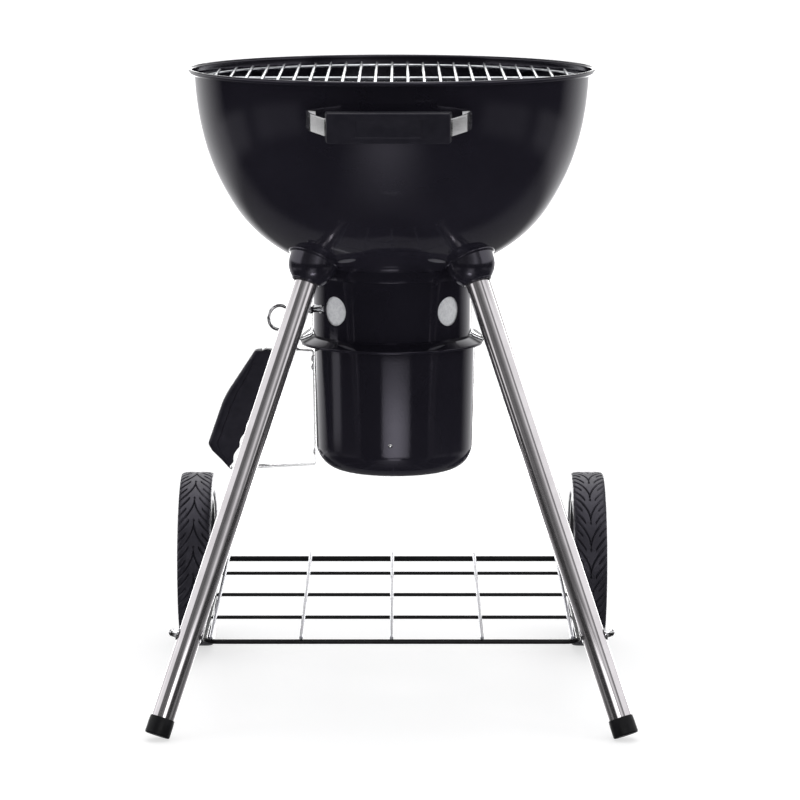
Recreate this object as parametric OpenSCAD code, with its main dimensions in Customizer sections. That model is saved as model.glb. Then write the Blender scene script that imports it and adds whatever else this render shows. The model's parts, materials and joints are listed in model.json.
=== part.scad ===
// Kettle charcoal grill on a two-wheeled tube stand, shown without its lid.
// Millimetres, +Z up. The front faces -Y. The origin is on the floor, under the
// middle of the footprint. Most modules draw round the bowl's own axis, and
// at_bowl() then sets them back by bowl_y.

/* [Bowl] */
// Outside radius of the rolled rim
rim_r = 287.5; // [260:0.5:300]
// Height of the rolled rim's centre above the floor
rim_z = 885; // [860:1:900]
// Depth of the bowl below its rim
bowl_depth = 291; // [285:1:300]
// Thickness of the enamelled steel sheet
bowl_wall = 1.5; // [1:0.1:3]
// Radius of the rolled bead round the rim
bead_r = 3.5; // [2.5:0.1:5]

/* [Stand] */
// Outside radius of the leg tubes
leg_r = 15.75; // [12:0.25:18]
// Sideways distance from the bowl axis to a leg where it meets the bowl
socket_x = 108; // [104:1:112]
// Height at which the legs meet the bowl
socket_z = 629.5; // [627:0.5:632]
// Sideways distance from the bowl axis to a front leg at the floor
foot_x = 320; // [310:1:330]
// Outside radius of the rubber foot caps
cap_r = 17.5; // [17:0.1:20]
// Length of the rubber foot caps
cap_h = 25; // [18:1:35]

/* [Wheels] */
// Radius of the tyres, which is also the height of the axle
wheel_r = 131; // [128:1:134]
// Width of the tyres
tyre_w = 50; // [44:1:54]
// Distance from the middle to the outer face of a tyre
wheel_x = 318; // [316:1:322]
// Sideways distance from the middle to a rear leg at the axle
axle_x = 267; // [265:1:268]
// Radius of the axle
axle_r = 4; // [3.5:0.1:4.2]

/* [Vent housing] */
// Outside radius of the housing under the bowl
housing_r = 113; // [108:1:114]
// Height of the housing's open lower end
housing_z = 505; // [500:1:508]
// Height of the centres of the four round vents
vent_z = 554; // [550:1:560]
// Radius of the four round vents
vent_r = 20.5; // [16:0.5:22]
// Angle that the damper turns from closed to open
damper_turn = 40; // [35:1:40]

/* [Ash bucket] */
// Outside radius of the bucket at its mouth
bucket_r = 114.5; // [110:0.5:116]
// Height of the bucket's mouth
bucket_top = 502; // [498:0.5:502]
// Height of the bucket's floor
bucket_floor = 320; // [310:1:330]
// Sideways offset of the bucket from the bowl axis
bucket_x = 4; // [0:0.5:4]

/* [Shelf] */
// Height of the shelf's front wire
shelf_z = 127.5; // [125:0.5:128]
// Radius of the shelf's frame wire
frame_wire_r = 3.25; // [2.5:0.05:3.3]
// Radius of the shelf's thinner wires
shelf_wire_r = 2.5; // [2:0.1:2.5]
// Spacing of the five wires that run from front to back
long_pitch = 123; // [115:1:123]
// Spacing of the wires that run across
cross_pitch = 144.5; // [140:0.5:146]

/* [Grates] */
// Radius of the cooking grate's ring
grate_r = 268; // [255:1:269]
// Height of the cooking grate's ring
grate_z = 873; // [871:1:875]
// Number of rods in the cooking grate
grate_rods = 23; // [15:2:23]
// Spacing of the cooking grate's rods
grate_pitch = 22.45; // [20:0.05:22.5]
// Radius of the charcoal grate
coal_r = 214; // [200:1:216]
// Height of the charcoal grate's ring
coal_z = 704; // [700:1:710]

/* [Front handle] */
// Overall width of the steel strap
handle_w = 231; // [220:1:240]
// Distance that the grip stands off the bowl
handle_reach = 45; // [38:1:50]
// Height at which the strap meets the bowl
handle_z = 834.5; // [828:0.5:840]
// Turn of the handle round the bowl from straight ahead
handle_turn = -0.7; // [-1:0.1:1]

/* [Hidden] */
$fn = 64;

large_fn = 128;
ring_fn = 96;
wire_fn = 24;

// Gaps: between parts that meet, round a shaft that turns, and round a loose tube or stud.
touch = 0.05;
run_gap = 0.07;
clear_gap = 0.15;

// How far a cut runs past the surface that it opens.
past = 1;

// The outside of the bowl is one Bezier curve from the rim to the middle of the floor.
rim_overhang = 6;
wall_taper = 7;
belly_share = 0.63;
floor_share = 0.64;
wall_top_r = rim_r - rim_overhang;
bowl_curve = [[wall_top_r, rim_z],
              [wall_top_r - wall_taper, rim_z - belly_share * bowl_depth],
              [floor_share * wall_top_r, rim_z - bowl_depth],
              [0, rim_z - bowl_depth]];
curve_steps = 24;
ash_hole_t = 0.85;

function curve_point(t) =
    pow(1 - t, 3) * bowl_curve[0] + 3 * t * pow(1 - t, 2) * bowl_curve[1]
    + 3 * t * t * (1 - t) * bowl_curve[2] + pow(t, 3) * bowl_curve[3];

function curve_slope(t) =
    pow(1 - t, 2) * (bowl_curve[1] - bowl_curve[0])
    + 2 * t * (1 - t) * (bowl_curve[2] - bowl_curve[1])
    + t * t * (bowl_curve[3] - bowl_curve[2]);

// A point moved square to the curve: inwards for a positive distance.
function offset_point(t, distance) =
    let (slope = curve_slope(t))
    curve_point(t) + distance * [slope[1], -slope[0]] / norm(slope);

function offset_curve(distance, t_end) =
    [for (i = [0:curve_steps]) offset_point(t_end * i / curve_steps, distance)];

function reversed(list) = [for (i = [len(list) - 1:-1:0]) list[i]];

function arc_points(centre, radius, start, end, steps) =
    [for (i = [0:steps])
        let (a = start + (end - start) * i / steps)
        centre + radius * [cos(a), sin(a)]];

// Legs: both pairs stand at 45 degrees, and meet the bowl at the same radius.
axle_z = wheel_r;
front_lean = atan(sqrt(2) * (foot_x - socket_x) / socket_z);
rear_lean = atan(sqrt(2) * (axle_x - socket_x) / (socket_z - axle_z));
rear_foot_x = axle_x + (axle_x - socket_x) / (socket_z - axle_z) * axle_z;
front_leg_l = socket_z / cos(front_lean);
rear_leg_l = socket_z / cos(rear_lean);
cap_flat = 0.8;
cap_floor = 4;
cap_start = (cap_r * sin(front_lean) - cap_flat) / cos(front_lean);
leg_wall = 1.5;
leg_in_socket = 6;
axle_to_leg_end = 18;
stud_r = 3;

// Footprint: from the front of the foot caps to the back of the tyres.
front_reach = foot_x - cap_start * sin(front_lean) / sqrt(2)
    + cap_r * sqrt(1 - pow(sin(front_lean), 2) / 2);
rear_reach = axle_x + wheel_r;
bowl_y = (front_reach - rear_reach) / 2;

// Sockets: a ball-shaped cup with a brim against the bowl and a rolled collar below.
socket_r = 34;
socket_drop = 5;
socket_h = 31;
brim_r = 37;
brim_drop = 1;
brim_h = 9;
collar_r = 19.3;
collar_wire = 2.4;

// Wheel: the inner side is dished, and the end of the rear leg stands in the dish.
tyre_depth = 33;
tyre_inner_r = wheel_r - tyre_depth;
wheel_rim_w = 44;
hub_start = 26;
hub_end = 44;
hub_r = 19;
web_start = 27;
web_h = 6;
web_holes = 6;

// Damper: a sleeve inside the housing, with a lever that leaves through a slot.
housing_wall = 1.5;
sleeve_gap = 0.7;
sleeve_wall = 1.2;
sleeve_r = housing_r - housing_wall - sleeve_gap;
lever_angle = 210;
lever_r = 2.4;
eye_wire = 2.2;
slot_h = 8;
eye_r = 16.7;
eye_distance = 181;
eye_drop = 7;

// Ash bucket and its side handle, whose strap lies in the plane y = 0.
bucket_draft = 3;
bucket_corner = 34;
bucket_wall = 1.2;
strap_t = 2;
strap_w = 20;
bucket_side = bucket_x - bucket_r - touch;
strap_top_z = 488;
strap_low_z = 325;
strap_gap = 0.1;
grip_depth = 26;
finger_r = 17;
groove_depth = 1;
groove_drop = 6;

// Front handle: the strap runs out from each foot, bends in towards the grip and crosses it.
grip_w = 162.5;
grip_h = 41;
grip_t = 19;
grip_flare = 6;
handle_strap_h = 24;
handle_strap_t = 2.5;
handle_lean = 5;
handle_front_r = 277.2;
handle_foot_turn = 22.5;
handle_foot_l = 20;
handle_foot_h = 13;
handle_gap = 0.4;
knee = [103, -5];
rivet_shift = -5;

// Grates: the wires of their rings and bars, and the gap between a ring and its brackets.
grate_ring_wire = 2.5;
grate_rod_wire = 2;
coal_wire = 3;
coal_pitch = 25;
coal_rods = 17;
rest_gap = 0.35;

shelf_front = foot_x - (foot_x - socket_x) * shelf_z / socket_z;
shelf_rise = asin((axle_z + axle_r + touch - shelf_z - frame_wire_r) / (shelf_front + axle_x));
frame_half_w = 255;
frame_corner = 18;
frame_back = 238;
frame_side_l = shelf_front + frame_back;
stud_z = 132.4;
stud_turn = atan2(1, -cos(front_lean));

module at_bowl() translate([0, bowl_y, 0]) children();

module ring(radius, wire)
    rotate_extrude($fn = ring_fn) translate([radius, 0]) circle(r = wire, $fn = wire_fn);

// A rod of the given radius that lies along X, centred on the origin.
module x_rod(radius, length) rotate([0, 90, 0]) cylinder(r = radius, h = length, center = true);

// A rod that lies along Y, centred on the origin.
module y_rod(radius, length) rotate([90, 0, 0]) cylinder(r = radius, h = length, center = true);

// Local +Z runs up a leg, from the floor towards the bowl.
module along_leg(turn, lean, base_x)
    rotate([0, 0, turn]) translate([-sqrt(2) * base_x, 0, 0]) rotate([0, lean, 0]) children();

module along_front_leg(side) along_leg(side < 0 ? 45 : 135, front_lean, foot_x) children();

module along_rear_leg(side) along_leg(side < 0 ? -45 : -135, rear_lean, rear_foot_x) children();

// The bowl's curve moved by distance and filled in to its axis.
module filled_curve(distance)
    let (curve = offset_curve(distance, ash_hole_t))
        rotate_extrude($fn = large_fn)
            polygon(concat([[0, rim_z]], curve, [[0, curve[curve_steps][1]]]));

// The bowl as a filled body, used to cut parts to its outside.
module bowl_filled() filled_curve(-touch);

// The space inside the bowl, used to trim parts to its inside.
module bowl_space() filled_curve(bowl_wall + touch);

// ---- Bowl and what is fixed inside it ----

module bowl() {
    color("black") at_bowl() {
        rotate_extrude($fn = large_fn)
            polygon(concat(offset_curve(0, ash_hole_t), reversed(offset_curve(bowl_wall, ash_hole_t))));
        translate([0, 0, rim_z]) ring(rim_r - bead_r, bead_r);
    }
}

module wall_brackets(top_z, reach_r, count) {
    bracket_w = 16;
    bracket_t = 2;
    intersection() {
        for (i = [0:count - 1])
            rotate([0, 0, 45 + 360 / count * i])
                translate([reach_r, -bracket_w / 2, top_z - bracket_t])
                    cube([rim_r - reach_r, bracket_w, bracket_t]);
        bowl_space();
    }
}

module grate_brackets() {
    ledge = 10;
    color("silver") at_bowl()
        wall_brackets(grate_z - grate_ring_wire - rest_gap, grate_r - ledge, 4);
}

module coal_grate_brackets() {
    ledge = 12;
    color("silver") at_bowl() wall_brackets(coal_z - coal_wire - rest_gap, coal_r - ledge, 4);
}

// ---- Legs and sockets ----

module leg_socket(leg_l) {
    bore_r = leg_r + clear_gap;
    bore_top = 5;
    cut_h = 40;
    cut_r = 60;
    foot = leg_l - socket_h;
    difference() {
        union() {
            translate([0, 0, leg_l - socket_drop]) sphere(r = socket_r);
            translate([0, 0, leg_l - brim_drop]) cylinder(r = brim_r, h = brim_h);
            translate([0, 0, foot]) ring(collar_r, collar_wire);
        }
        translate([0, 0, foot - cut_h]) cylinder(r = bore_r, h = cut_h + socket_h - bore_top);
        translate([0, 0, foot - cut_h]) cylinder(r = collar_r, h = cut_h);
        translate([0, 0, leg_l + brim_h - brim_drop]) cylinder(r = cut_r, h = cut_h);
    }
}

module front_socket(side) {
    color("black") at_bowl() difference() {
        along_front_leg(side) leg_socket(front_leg_l);
        bowl_filled();
    }
}

module rear_socket(side) {
    color("black") at_bowl() difference() {
        along_rear_leg(side) leg_socket(rear_leg_l);
        bowl_filled();
    }
}

module socket_front_left() front_socket(-1);
module socket_front_right() front_socket(1);
module socket_rear_left() rear_socket(-1);
module socket_rear_right() rear_socket(1);

// The head of the bolt that holds each socket, inside the bowl.
module socket_bolt_head(leg_l) {
    head_r = 8;
    head_h = 7;
    translate([0, 0, leg_l]) cylinder(r = head_r, h = head_h);
}

module socket_bolts() {
    color("silver") at_bowl() intersection() {
        union() {
            for (side = [-1, 1]) {
                along_front_leg(side) socket_bolt_head(front_leg_l);
                along_rear_leg(side) socket_bolt_head(rear_leg_l);
            }
        }
        bowl_space();
    }
}

module tube(start, end) {
    translate([0, 0, start]) difference() {
        cylinder(r = leg_r, h = end - start);
        translate([0, 0, -past]) cylinder(r = leg_r - leg_wall, h = end - start + 2 * past);
    }
}

module stud_place(side)
    along_front_leg(side)
        translate([0, 0, stud_z / cos(front_lean)])
            rotate([0, 0, -side * stud_turn])
                rotate([0, 90, 0]) children();

module front_leg(side) {
    color("gainsboro") at_bowl() difference() {
        along_front_leg(side) tube(cap_start + cap_floor + touch, front_leg_l - leg_in_socket);
        stud_place(side) cylinder(r = stud_r + clear_gap, h = 4 * leg_r, center = true);
    }
}

module rear_leg(side) {
    color("gainsboro") at_bowl() difference() {
        along_rear_leg(side)
            tube(axle_z / cos(rear_lean) - axle_to_leg_end, rear_leg_l - leg_in_socket);
        translate([side * axle_x, axle_x, axle_z]) x_rod(axle_r + clear_gap, 5 * leg_r);
    }
}

module leg_front_left() front_leg(-1);
module leg_front_right() front_leg(1);
module leg_rear_left() rear_leg(-1);
module leg_rear_right() rear_leg(1);

module foot_cap(side) {
    top_wall = 1.2;
    below = 50;
    color("black") at_bowl() difference() {
        along_front_leg(side) translate([0, 0, cap_start]) difference() {
            cylinder(r1 = cap_r, r2 = leg_r + top_wall, h = cap_h);
            translate([0, 0, cap_floor]) cylinder(r = leg_r + touch, h = cap_h);
        }
        translate([-foot_x * 2, -foot_x * 2, -below]) cube([foot_x * 4, foot_x * 4, below]);
    }
}

module foot_cap_left() foot_cap(-1);
module foot_cap_right() foot_cap(1);

module rear_leg_plugs() {
    plug_head = 2.5;
    plug_l = 8;
    head_inset = 0.5;
    end = axle_z / cos(rear_lean) - axle_to_leg_end;
    color("black") at_bowl() for (side = [-1, 1])
        along_rear_leg(side) {
            translate([0, 0, end - plug_head - touch]) cylinder(r = leg_r - head_inset, h = plug_head);
            translate([0, 0, end - touch]) cylinder(r = leg_r - leg_wall - touch, h = plug_l);
        }
}

// ---- Front handle ----

// Local +Y points into the bowl, and the origin is on its wall, straight ahead.
module at_handle()
    rotate([0, 0, handle_turn]) translate([0, -handle_front_r, handle_z])
        rotate([handle_lean, 0, 0]) children();

// Half of the strap's middle line: from inside its foot, out to the knee, to the grip's end.
strap_end = [handle_w / 2 - 3, 25.5];
grip_gap = 0.8;
handle_half_line = [strap_end, knee, [grip_w / 2 + grip_gap, handle_strap_t / 2 - handle_reach]];

function mirrored(line) = [for (p = line) [-p[0], p[1]]];

// An open line moved sideways by distance, with square mitres at its corners.
function line_offset(line, distance) =
    let (last = len(line) - 1)
    concat([line[0] + distance * left_of(line[0], line[1])],
           [for (i = [1:last - 1]) mitre(line[i - 1], line[i], line[i + 1], distance)],
           [line[last] + distance * left_of(line[last - 1], line[last])]);

function left_of(a, b) = let (u = unit(b - a)) [u[1], -u[0]];

module handle_strap() {
    line = concat(handle_half_line, reversed(mirrored(handle_half_line)));
    half_t = handle_strap_t / 2;
    color("gainsboro") at_bowl() at_handle() difference() {
        union() {
            translate([0, 0, -handle_strap_h / 2]) linear_extrude(handle_strap_h)
                polygon(concat(line_offset(line, half_t), reversed(line_offset(line, -half_t))));
            for (side = [-1, 1]) handle_foot(side)
                translate([-handle_foot_l / 2, -handle_strap_t, -handle_foot_h / 2])
                    cube([handle_foot_l, handle_strap_t, handle_foot_h]);
        }
        for (side = [-1, 1]) handle_foot(side)
            translate([-2 * handle_foot_l, 0, -handle_strap_h])
                cube([4 * handle_foot_l, handle_reach, 2 * handle_strap_h]);
    }
}

// The strap's foot lies flat against the bowl's wall.
module handle_foot(side)
    translate([0, handle_front_r, 0]) rotate([0, 0, side * handle_foot_turn])
        translate([0, -handle_front_r - handle_gap, 0]) children();

module handle_grip() {
    panel_w = 87;
    panel_h = 24;
    panel_depth = 1;
    face = handle_strap_t / 2 - handle_reach - grip_t / 2;
    color("dimgray") at_bowl() at_handle() difference() {
        translate([0, 0, -grip_h / 2]) linear_extrude(grip_h)
            polygon([[-grip_w / 2, face], [grip_w / 2, face],
                     [grip_w / 2 + grip_flare, face + grip_t], [-grip_w / 2 - grip_flare, face + grip_t]]);
        translate([-grip_w, -handle_reach - touch, -handle_strap_h / 2 - touch])
            cube([2 * grip_w, handle_strap_t + 2 * touch, handle_strap_h + 2 * touch]);
        translate([-panel_w / 2, face - panel_depth, -panel_h / 2])
            cube([panel_w, 2 * panel_depth, panel_h]);
        for (side = [-1, 1]) grip_arm_slot(side);
    }
}

// Room in the grip's end for the strap's slanted arm.
module grip_arm_slot(side) {
    start = handle_half_line[2];
    run = knee - start;
    mirror([side < 0 ? 1 : 0, 0, 0]) translate([start[0], start[1], 0])
        rotate([0, 0, atan2(run[1], run[0])])
            translate([-handle_strap_t, -handle_strap_t / 2 - 2 * touch, -handle_strap_h / 2 - touch])
                cube([norm(run), handle_strap_t + 4 * touch, handle_strap_h + 2 * touch]);
}

module handle_rivets() {
    head_r = 4;
    top_r = 2.5;
    head_h = 2;
    color("silver") at_bowl() at_handle() for (side = [-1, 1])
        handle_foot(side) translate([rivet_shift * side, -handle_strap_t - touch, 0])
            rotate([90, 0, 0]) cylinder(r1 = head_r, r2 = top_r, h = head_h);
}

// ---- Vent housing ----

// A hole that goes out through the housing's wall at this angle.
module radial_hole(angle, radius)
    rotate([0, 0, angle]) translate([housing_r / 2, 0, vent_z]) rotate([0, 90, 0])
        cylinder(r = radius, h = housing_r);

module vent_housing() {
    slot_extra = 3;
    slot_depth = 10;
    housing_h = 120;
    color("black") at_bowl() difference() {
        translate([0, 0, housing_z]) cylinder(r = housing_r, h = housing_h, $fn = large_fn);
        translate([0, 0, housing_z - past])
            cylinder(r = housing_r - housing_wall, h = housing_h + 2 * past, $fn = large_fn);
        for (i = [0:3]) radial_hole(45 + 90 * i, vent_r);
        rotate([0, 0, lever_angle - damper_turn - slot_extra])
            rotate_extrude(angle = damper_turn + 2 * slot_extra)
                translate([housing_r - slot_depth, vent_z - slot_h / 2])
                    square([2 * slot_depth, slot_h]);
        bowl_filled();
    }
}

module housing_collar() {
    collar_rise = 43;
    collar_h = 28;
    collar_t = 1.8;
    color("black") at_bowl() difference() {
        translate([0, 0, vent_z + collar_rise])
            cylinder(r = housing_r + touch + collar_t, h = collar_h, $fn = large_fn);
        translate([0, 0, vent_z + collar_rise - past])
            cylinder(r = housing_r + touch, h = collar_h + 2 * past, $fn = large_fn);
        bowl_filled();
    }
}

// The lip that turns out from the housing's lower end, over the bucket's mouth.
module housing_flange() {
    lip_w = 18;
    inner_w = 12;
    sheet = 2;
    outline = [[-inner_w, -sheet], [6, -sheet], [lip_w - 3, -5], [lip_w - 0.8, -4.6], [lip_w, -3],
               [lip_w - 0.6, -1.4], [3, 6.5], [touch, 9], [touch, -touch], [-inner_w, -touch]];
    color("black") at_bowl() rotate_extrude($fn = large_fn)
        polygon([for (p = outline) [housing_r, housing_z] + p]);
}

// A small sprung clip over the flange on each side, which the bucket's strap presses on.
module retaining_clips() {
    clip_w = 18;
    outline = [[2, 8.5], [2, 14], [4, 14], [18, 1.2], [18, -1.2]];
    color("silver") at_bowl() for (side = [0, 180])
        rotate([0, 0, side]) rotate([90, 0, 0]) translate([0, 0, -clip_w / 2])
            linear_extrude(clip_w) polygon([for (p = outline) [housing_r, housing_z] + p]);
}

// ---- Damper ----

module damper_sleeve() {
    sleeve_h = 84;
    sleeve_rise = 1;
    color("lightgray") at_bowl() difference() {
        translate([0, 0, housing_z + sleeve_rise])
            cylinder(r = sleeve_r, h = sleeve_h, $fn = large_fn);
        translate([0, 0, housing_z + sleeve_rise - past])
            cylinder(r = sleeve_r - sleeve_wall, h = sleeve_h + 2 * past, $fn = large_fn);
        for (i = [0:3]) radial_hole(45 + damper_turn + 90 * i, vent_r);
    }
}

module at_lever()
    rotate([0, 0, lever_angle]) translate([0, 0, vent_z]) rotate([0, 90, 0]) children();

module damper_lever() {
    rod_end = eye_distance - sqrt(eye_r * eye_r - eye_drop * eye_drop);
    color("silver") at_bowl() union() {
        at_lever() translate([0, 0, sleeve_r + touch])
            cylinder(r = lever_r, h = rod_end - sleeve_r);
        rotate([0, 0, lever_angle]) translate([eye_distance, 0, vent_z - eye_drop])
            rotate([90, 0, 0]) ring(eye_r, eye_wire);
    }
}

// A washer, a bush and a nut on the lever, outside the housing's wall.
module lever_fittings() {
    start = housing_r + 0.6;
    washer_h = 2;
    bush_h = 13;
    nut_h = 4.5;
    color("silver") at_bowl() at_lever() difference() {
        union() {
            translate([0, 0, start]) cylinder(r = 6.2, h = washer_h);
            translate([0, 0, start + washer_h]) cylinder(r = 3.6, h = bush_h);
            translate([0, 0, start + washer_h + bush_h]) cylinder(r = 5.4, h = nut_h, $fn = 6);
        }
        cylinder(r = lever_r + touch, h = 2 * housing_r);
    }
}

// ---- Ash bucket ----

function bucket_profile(inset) =
    let (r_low = bucket_r - bucket_draft - inset, corner = bucket_corner - inset,
         base = bucket_floor + inset)
    concat([[bucket_r - inset, bucket_top]],
           arc_points([r_low - corner, base + corner], corner, 0, -90, 10),
           [[0, base]]);

module ash_bucket() {
    color("black") at_bowl() translate([bucket_x, 0, 0]) rotate_extrude($fn = large_fn)
        polygon(concat(bucket_profile(0), reversed(bucket_profile(bucket_wall))));
}

// Corners of the strap's loop in the plane y = 0: mouth, grip top, grip foot, floor.
strap_low_x = bucket_side + bucket_draft;
grip_top = [-182, 491];
grip_foot = [-233, 318];

function unit(v) = v / norm(v);

// Corner b of the path a, b, c, moved out by distance with square mitres.
function mitre(a, b, c, distance) =
    let (u = unit(b - a), v = unit(c - b), n = [u[1], -u[0]], m = [v[1], -v[0]])
    b + distance * (n + m) / (1 + n * m);

function loop_offset(path, distance) =
    let (n = len(path))
    [for (i = [0:n - 1]) mitre(path[(i + n - 1) % n], path[i], path[(i + 1) % n], distance)];

module bucket_strap() {
    half = strap_t / 2;
    centre_line = [[bucket_side - half - strap_gap, strap_top_z], grip_top, grip_foot,
                   [strap_low_x - half - strap_gap, strap_low_z]];
    color("silver") at_bowl() rotate([90, 0, 0]) translate([0, 0, -strap_w / 2])
        linear_extrude(strap_w) difference() {
            polygon(loop_offset(centre_line, half));
            polygon(loop_offset(centre_line, -half));
        }
}

module bucket_grip() {
    finger_grooves = 4;
    groove_line = [[-184, 428], [-228, 334]];
    color("dimgray") at_bowl() difference() {
        rotate([90, 0, 0]) translate([0, 0, -grip_depth / 2]) linear_extrude(grip_depth)
            polygon([[-194, 489], [-262, 354], [-256, 344], [-232, 320.5],
                     [-226, 328], [-185, 426], [-170, 489]]);
        for (i = [0:finger_grooves - 1])
            translate(groove_place(groove_line, (i + 0.5) / finger_grooves))
                y_rod(finger_r, grip_depth * 2);
        strap_slot();
    }
}

function groove_place(line, t) =
    let (p = line[0] + t * (line[1] - line[0]))
    [p[0] + finger_r - groove_depth, 0, p[1] - groove_drop];

// Room for the strap along the grip.
module strap_slot() {
    run = grip_foot - grip_top;
    beyond = 20;
    translate([grip_top[0], 0, grip_top[1]]) rotate([0, -atan2(run[1], run[0]), 0])
        translate([-beyond, -strap_w / 2 - touch, -strap_t / 2 - touch])
            cube([norm(run) + 2 * beyond, strap_w + 2 * touch, strap_t + 2 * touch]);
}

// Three rivets through the strap, and a small one on the bucket's front.
module bucket_rivets() {
    head_r = 4.5;
    top_r = 2.5;
    head_h = 2.6;
    front_r = 3;
    front_h = 1.6;
    front_x = bucket_x - 6;
    front_z = 369;
    color("silver") at_bowl() {
        for (z = [476, 464, 342])
            translate([rivet_x(z), 0, z]) rotate([0, -90, 0])
                cylinder(r1 = head_r, r2 = top_r, h = head_h);
        translate([front_x, 0.8 * bucket_draft - bucket_r, front_z]) rotate([90, 0, 0])
            cylinder(r1 = front_r, r2 = front_h, h = front_h);
    }
}

function rivet_x(z) =
    bucket_side - strap_t - 2 * strap_gap
    + bucket_draft * (strap_top_z - z) / (strap_top_z - strap_low_z);

// ---- Wire shelf ----

// The origin is on the front wire, and local +Y runs back and slightly up to the axle.
module at_shelf()
    translate([0, -shelf_front, shelf_z]) rotate([shelf_rise, 0, 0]) children();

module shelf_frame() {
    straight = 2 * (frame_half_w - frame_corner);
    color("black") at_bowl() at_shelf() union() {
        x_rod(frame_wire_r, straight);
        for (side = [-1, 1]) {
            translate([side * (frame_half_w - frame_corner), frame_corner, 0])
                rotate([0, 0, side < 0 ? 180 : 270])
                    rotate_extrude(angle = 90) translate([frame_corner, 0]) circle(r = frame_wire_r);
            translate([side * frame_half_w, frame_corner + (frame_side_l - frame_corner) / 2, 0])
                y_rod(frame_wire_r, frame_side_l - frame_corner);
        }
    }
}

module shelf_cross_wires() {
    color("black") at_bowl() at_shelf() for (i = [1:3])
        translate([0, i * cross_pitch, frame_wire_r - shelf_wire_r])
            x_rod(shelf_wire_r, 2 * (frame_half_w - frame_wire_r - touch));
}

// Five plated wires lie on the cross wires. Each hooks down behind the axle.
module shelf_long_wires() {
    length = shelf_front + axle_x + axle_r + shelf_wire_r + touch;
    hook_h = 12;
    color("silver") at_bowl() at_shelf() for (i = [-2:2])
        translate([i * long_pitch, 0, frame_wire_r + shelf_wire_r + touch]) {
            translate([0, length / 2 - frame_wire_r / 2, 0])
                y_rod(shelf_wire_r, length + frame_wire_r);
            translate([0, length, 0]) sphere(r = shelf_wire_r);
            translate([0, length, -hook_h]) cylinder(r = shelf_wire_r, h = hook_h);
        }
}

module shelf_studs() {
    inner_end = 16.4;
    outer_end = 27;
    color("silver") at_bowl() for (side = [-1, 1])
        stud_place(side) translate([0, 0, -inner_end]) cylinder(r = stud_r, h = inner_end + outer_end);
}

module dome_nuts() {
    washer_r = 8;
    washer_h = 1.5;
    hex_r = 6.4;
    hex_h = 6;
    dome_r = 5.4;
    dome_rise = 1;
    bore_l = 27.5;
    color("gainsboro") at_bowl() for (side = [-1, 1])
        stud_place(side) difference() {
            union() {
                translate([0, 0, leg_r + touch]) cylinder(r = washer_r, h = washer_h);
                translate([0, 0, leg_r + washer_h]) cylinder(r = hex_r, h = hex_h, $fn = 6);
                translate([0, 0, leg_r + washer_h + hex_h + dome_rise]) sphere(r = dome_r);
            }
            cylinder(r = stud_r + touch, h = bore_l);
        }
}

// ---- Axle and wheels ----

hub_gap = 0.5;

module axle() {
    end_inset = 1;
    color("black") at_bowl() translate([0, axle_x, axle_z])
        x_rod(axle_r, 2 * (wheel_x - end_inset));
}

module axle_spacers() {
    spacer_r = 8;
    leg_half = 20.5;
    inner_x = axle_x + leg_half;
    hub_x = wheel_x - tyre_w + hub_start - hub_gap;
    color("silver") at_bowl() for (side = [-1, 1])
        translate([side * (inner_x + hub_x) / 2, axle_x, axle_z]) difference() {
            x_rod(spacer_r, hub_x - inner_x);
            x_rod(axle_r + touch, hub_x);
        }
}

module axle_caps() {
    base_r = 9;
    base_h = 4;
    crown_r = 8.5;
    crown_top_r = 5;
    crown_h = 4.5;
    cap_x = wheel_x - tyre_w + hub_end + hub_gap;
    color("silver") at_bowl() for (side = [-1, 1])
        translate([side * cap_x, axle_x, axle_z]) rotate([0, side * 90, 0]) difference() {
            union() {
                cylinder(r = base_r, h = base_h);
                translate([0, 0, base_h]) cylinder(r1 = crown_r, r2 = crown_top_r, h = crown_h);
            }
            translate([0, 0, -past]) cylinder(r = axle_r + touch, h = wheel_x - cap_x + past / 2);
        }
}

// Local +Z runs outwards along the axle from the tyre's inner face.
module at_wheel(side)
    translate([side * (wheel_x - tyre_w), axle_x, axle_z]) rotate([0, side * 90, 0]) children();

// Tyre section: a squared-off oval, flat across the tread.
module tyre(side) {
    power = 2 / 6;
    half_w = tyre_w / 2;
    half_h = tyre_depth / 2;
    points = 32;
    color("#202024") at_bowl() at_wheel(side) rotate_extrude($fn = large_fn)
        polygon([for (i = [0:points - 1])
            let (a = 360 * i / points, c = cos(a), s = sin(a))
            [tyre_inner_r + half_h + half_h * sign(c) * pow(abs(c), power),
             half_w + half_w * sign(s) * pow(abs(s), power)]]);
}

module wheel(side) {
    rim_start = (tyre_w - wheel_rim_w) / 2;
    rim_t = 12;
    rim_in_r = tyre_inner_r - rim_t;
    hole_r = 19;
    hole_x = (rim_in_r + hub_r) / 2 + 1;
    color("dimgray") at_bowl() at_wheel(side) difference() {
        union() {
            difference() {
                translate([0, 0, rim_start]) cylinder(r = tyre_inner_r - touch, h = wheel_rim_w);
                translate([0, 0, rim_start - past]) cylinder(r = rim_in_r, h = wheel_rim_w + 2 * past);
            }
            translate([0, 0, web_start]) cylinder(r = rim_in_r + past, h = web_h);
            translate([0, 0, hub_start]) cylinder(r = hub_r, h = hub_end - hub_start);
        }
        translate([0, 0, -past]) cylinder(r = axle_r + run_gap, h = tyre_w + 2 * past);
        for (i = [0:web_holes - 1])
            rotate([0, 0, 360 / web_holes * i]) translate([hole_x, 0, 0])
                cylinder(r = hole_r, h = tyre_w);
    }
}

module tyre_left() tyre(-1);
module tyre_right() tyre(1);
module wheel_left() wheel(-1);
module wheel_right() wheel(1);

// ---- Grates ----

function half_chord(radius, x) = sqrt(radius * radius - x * x);

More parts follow.
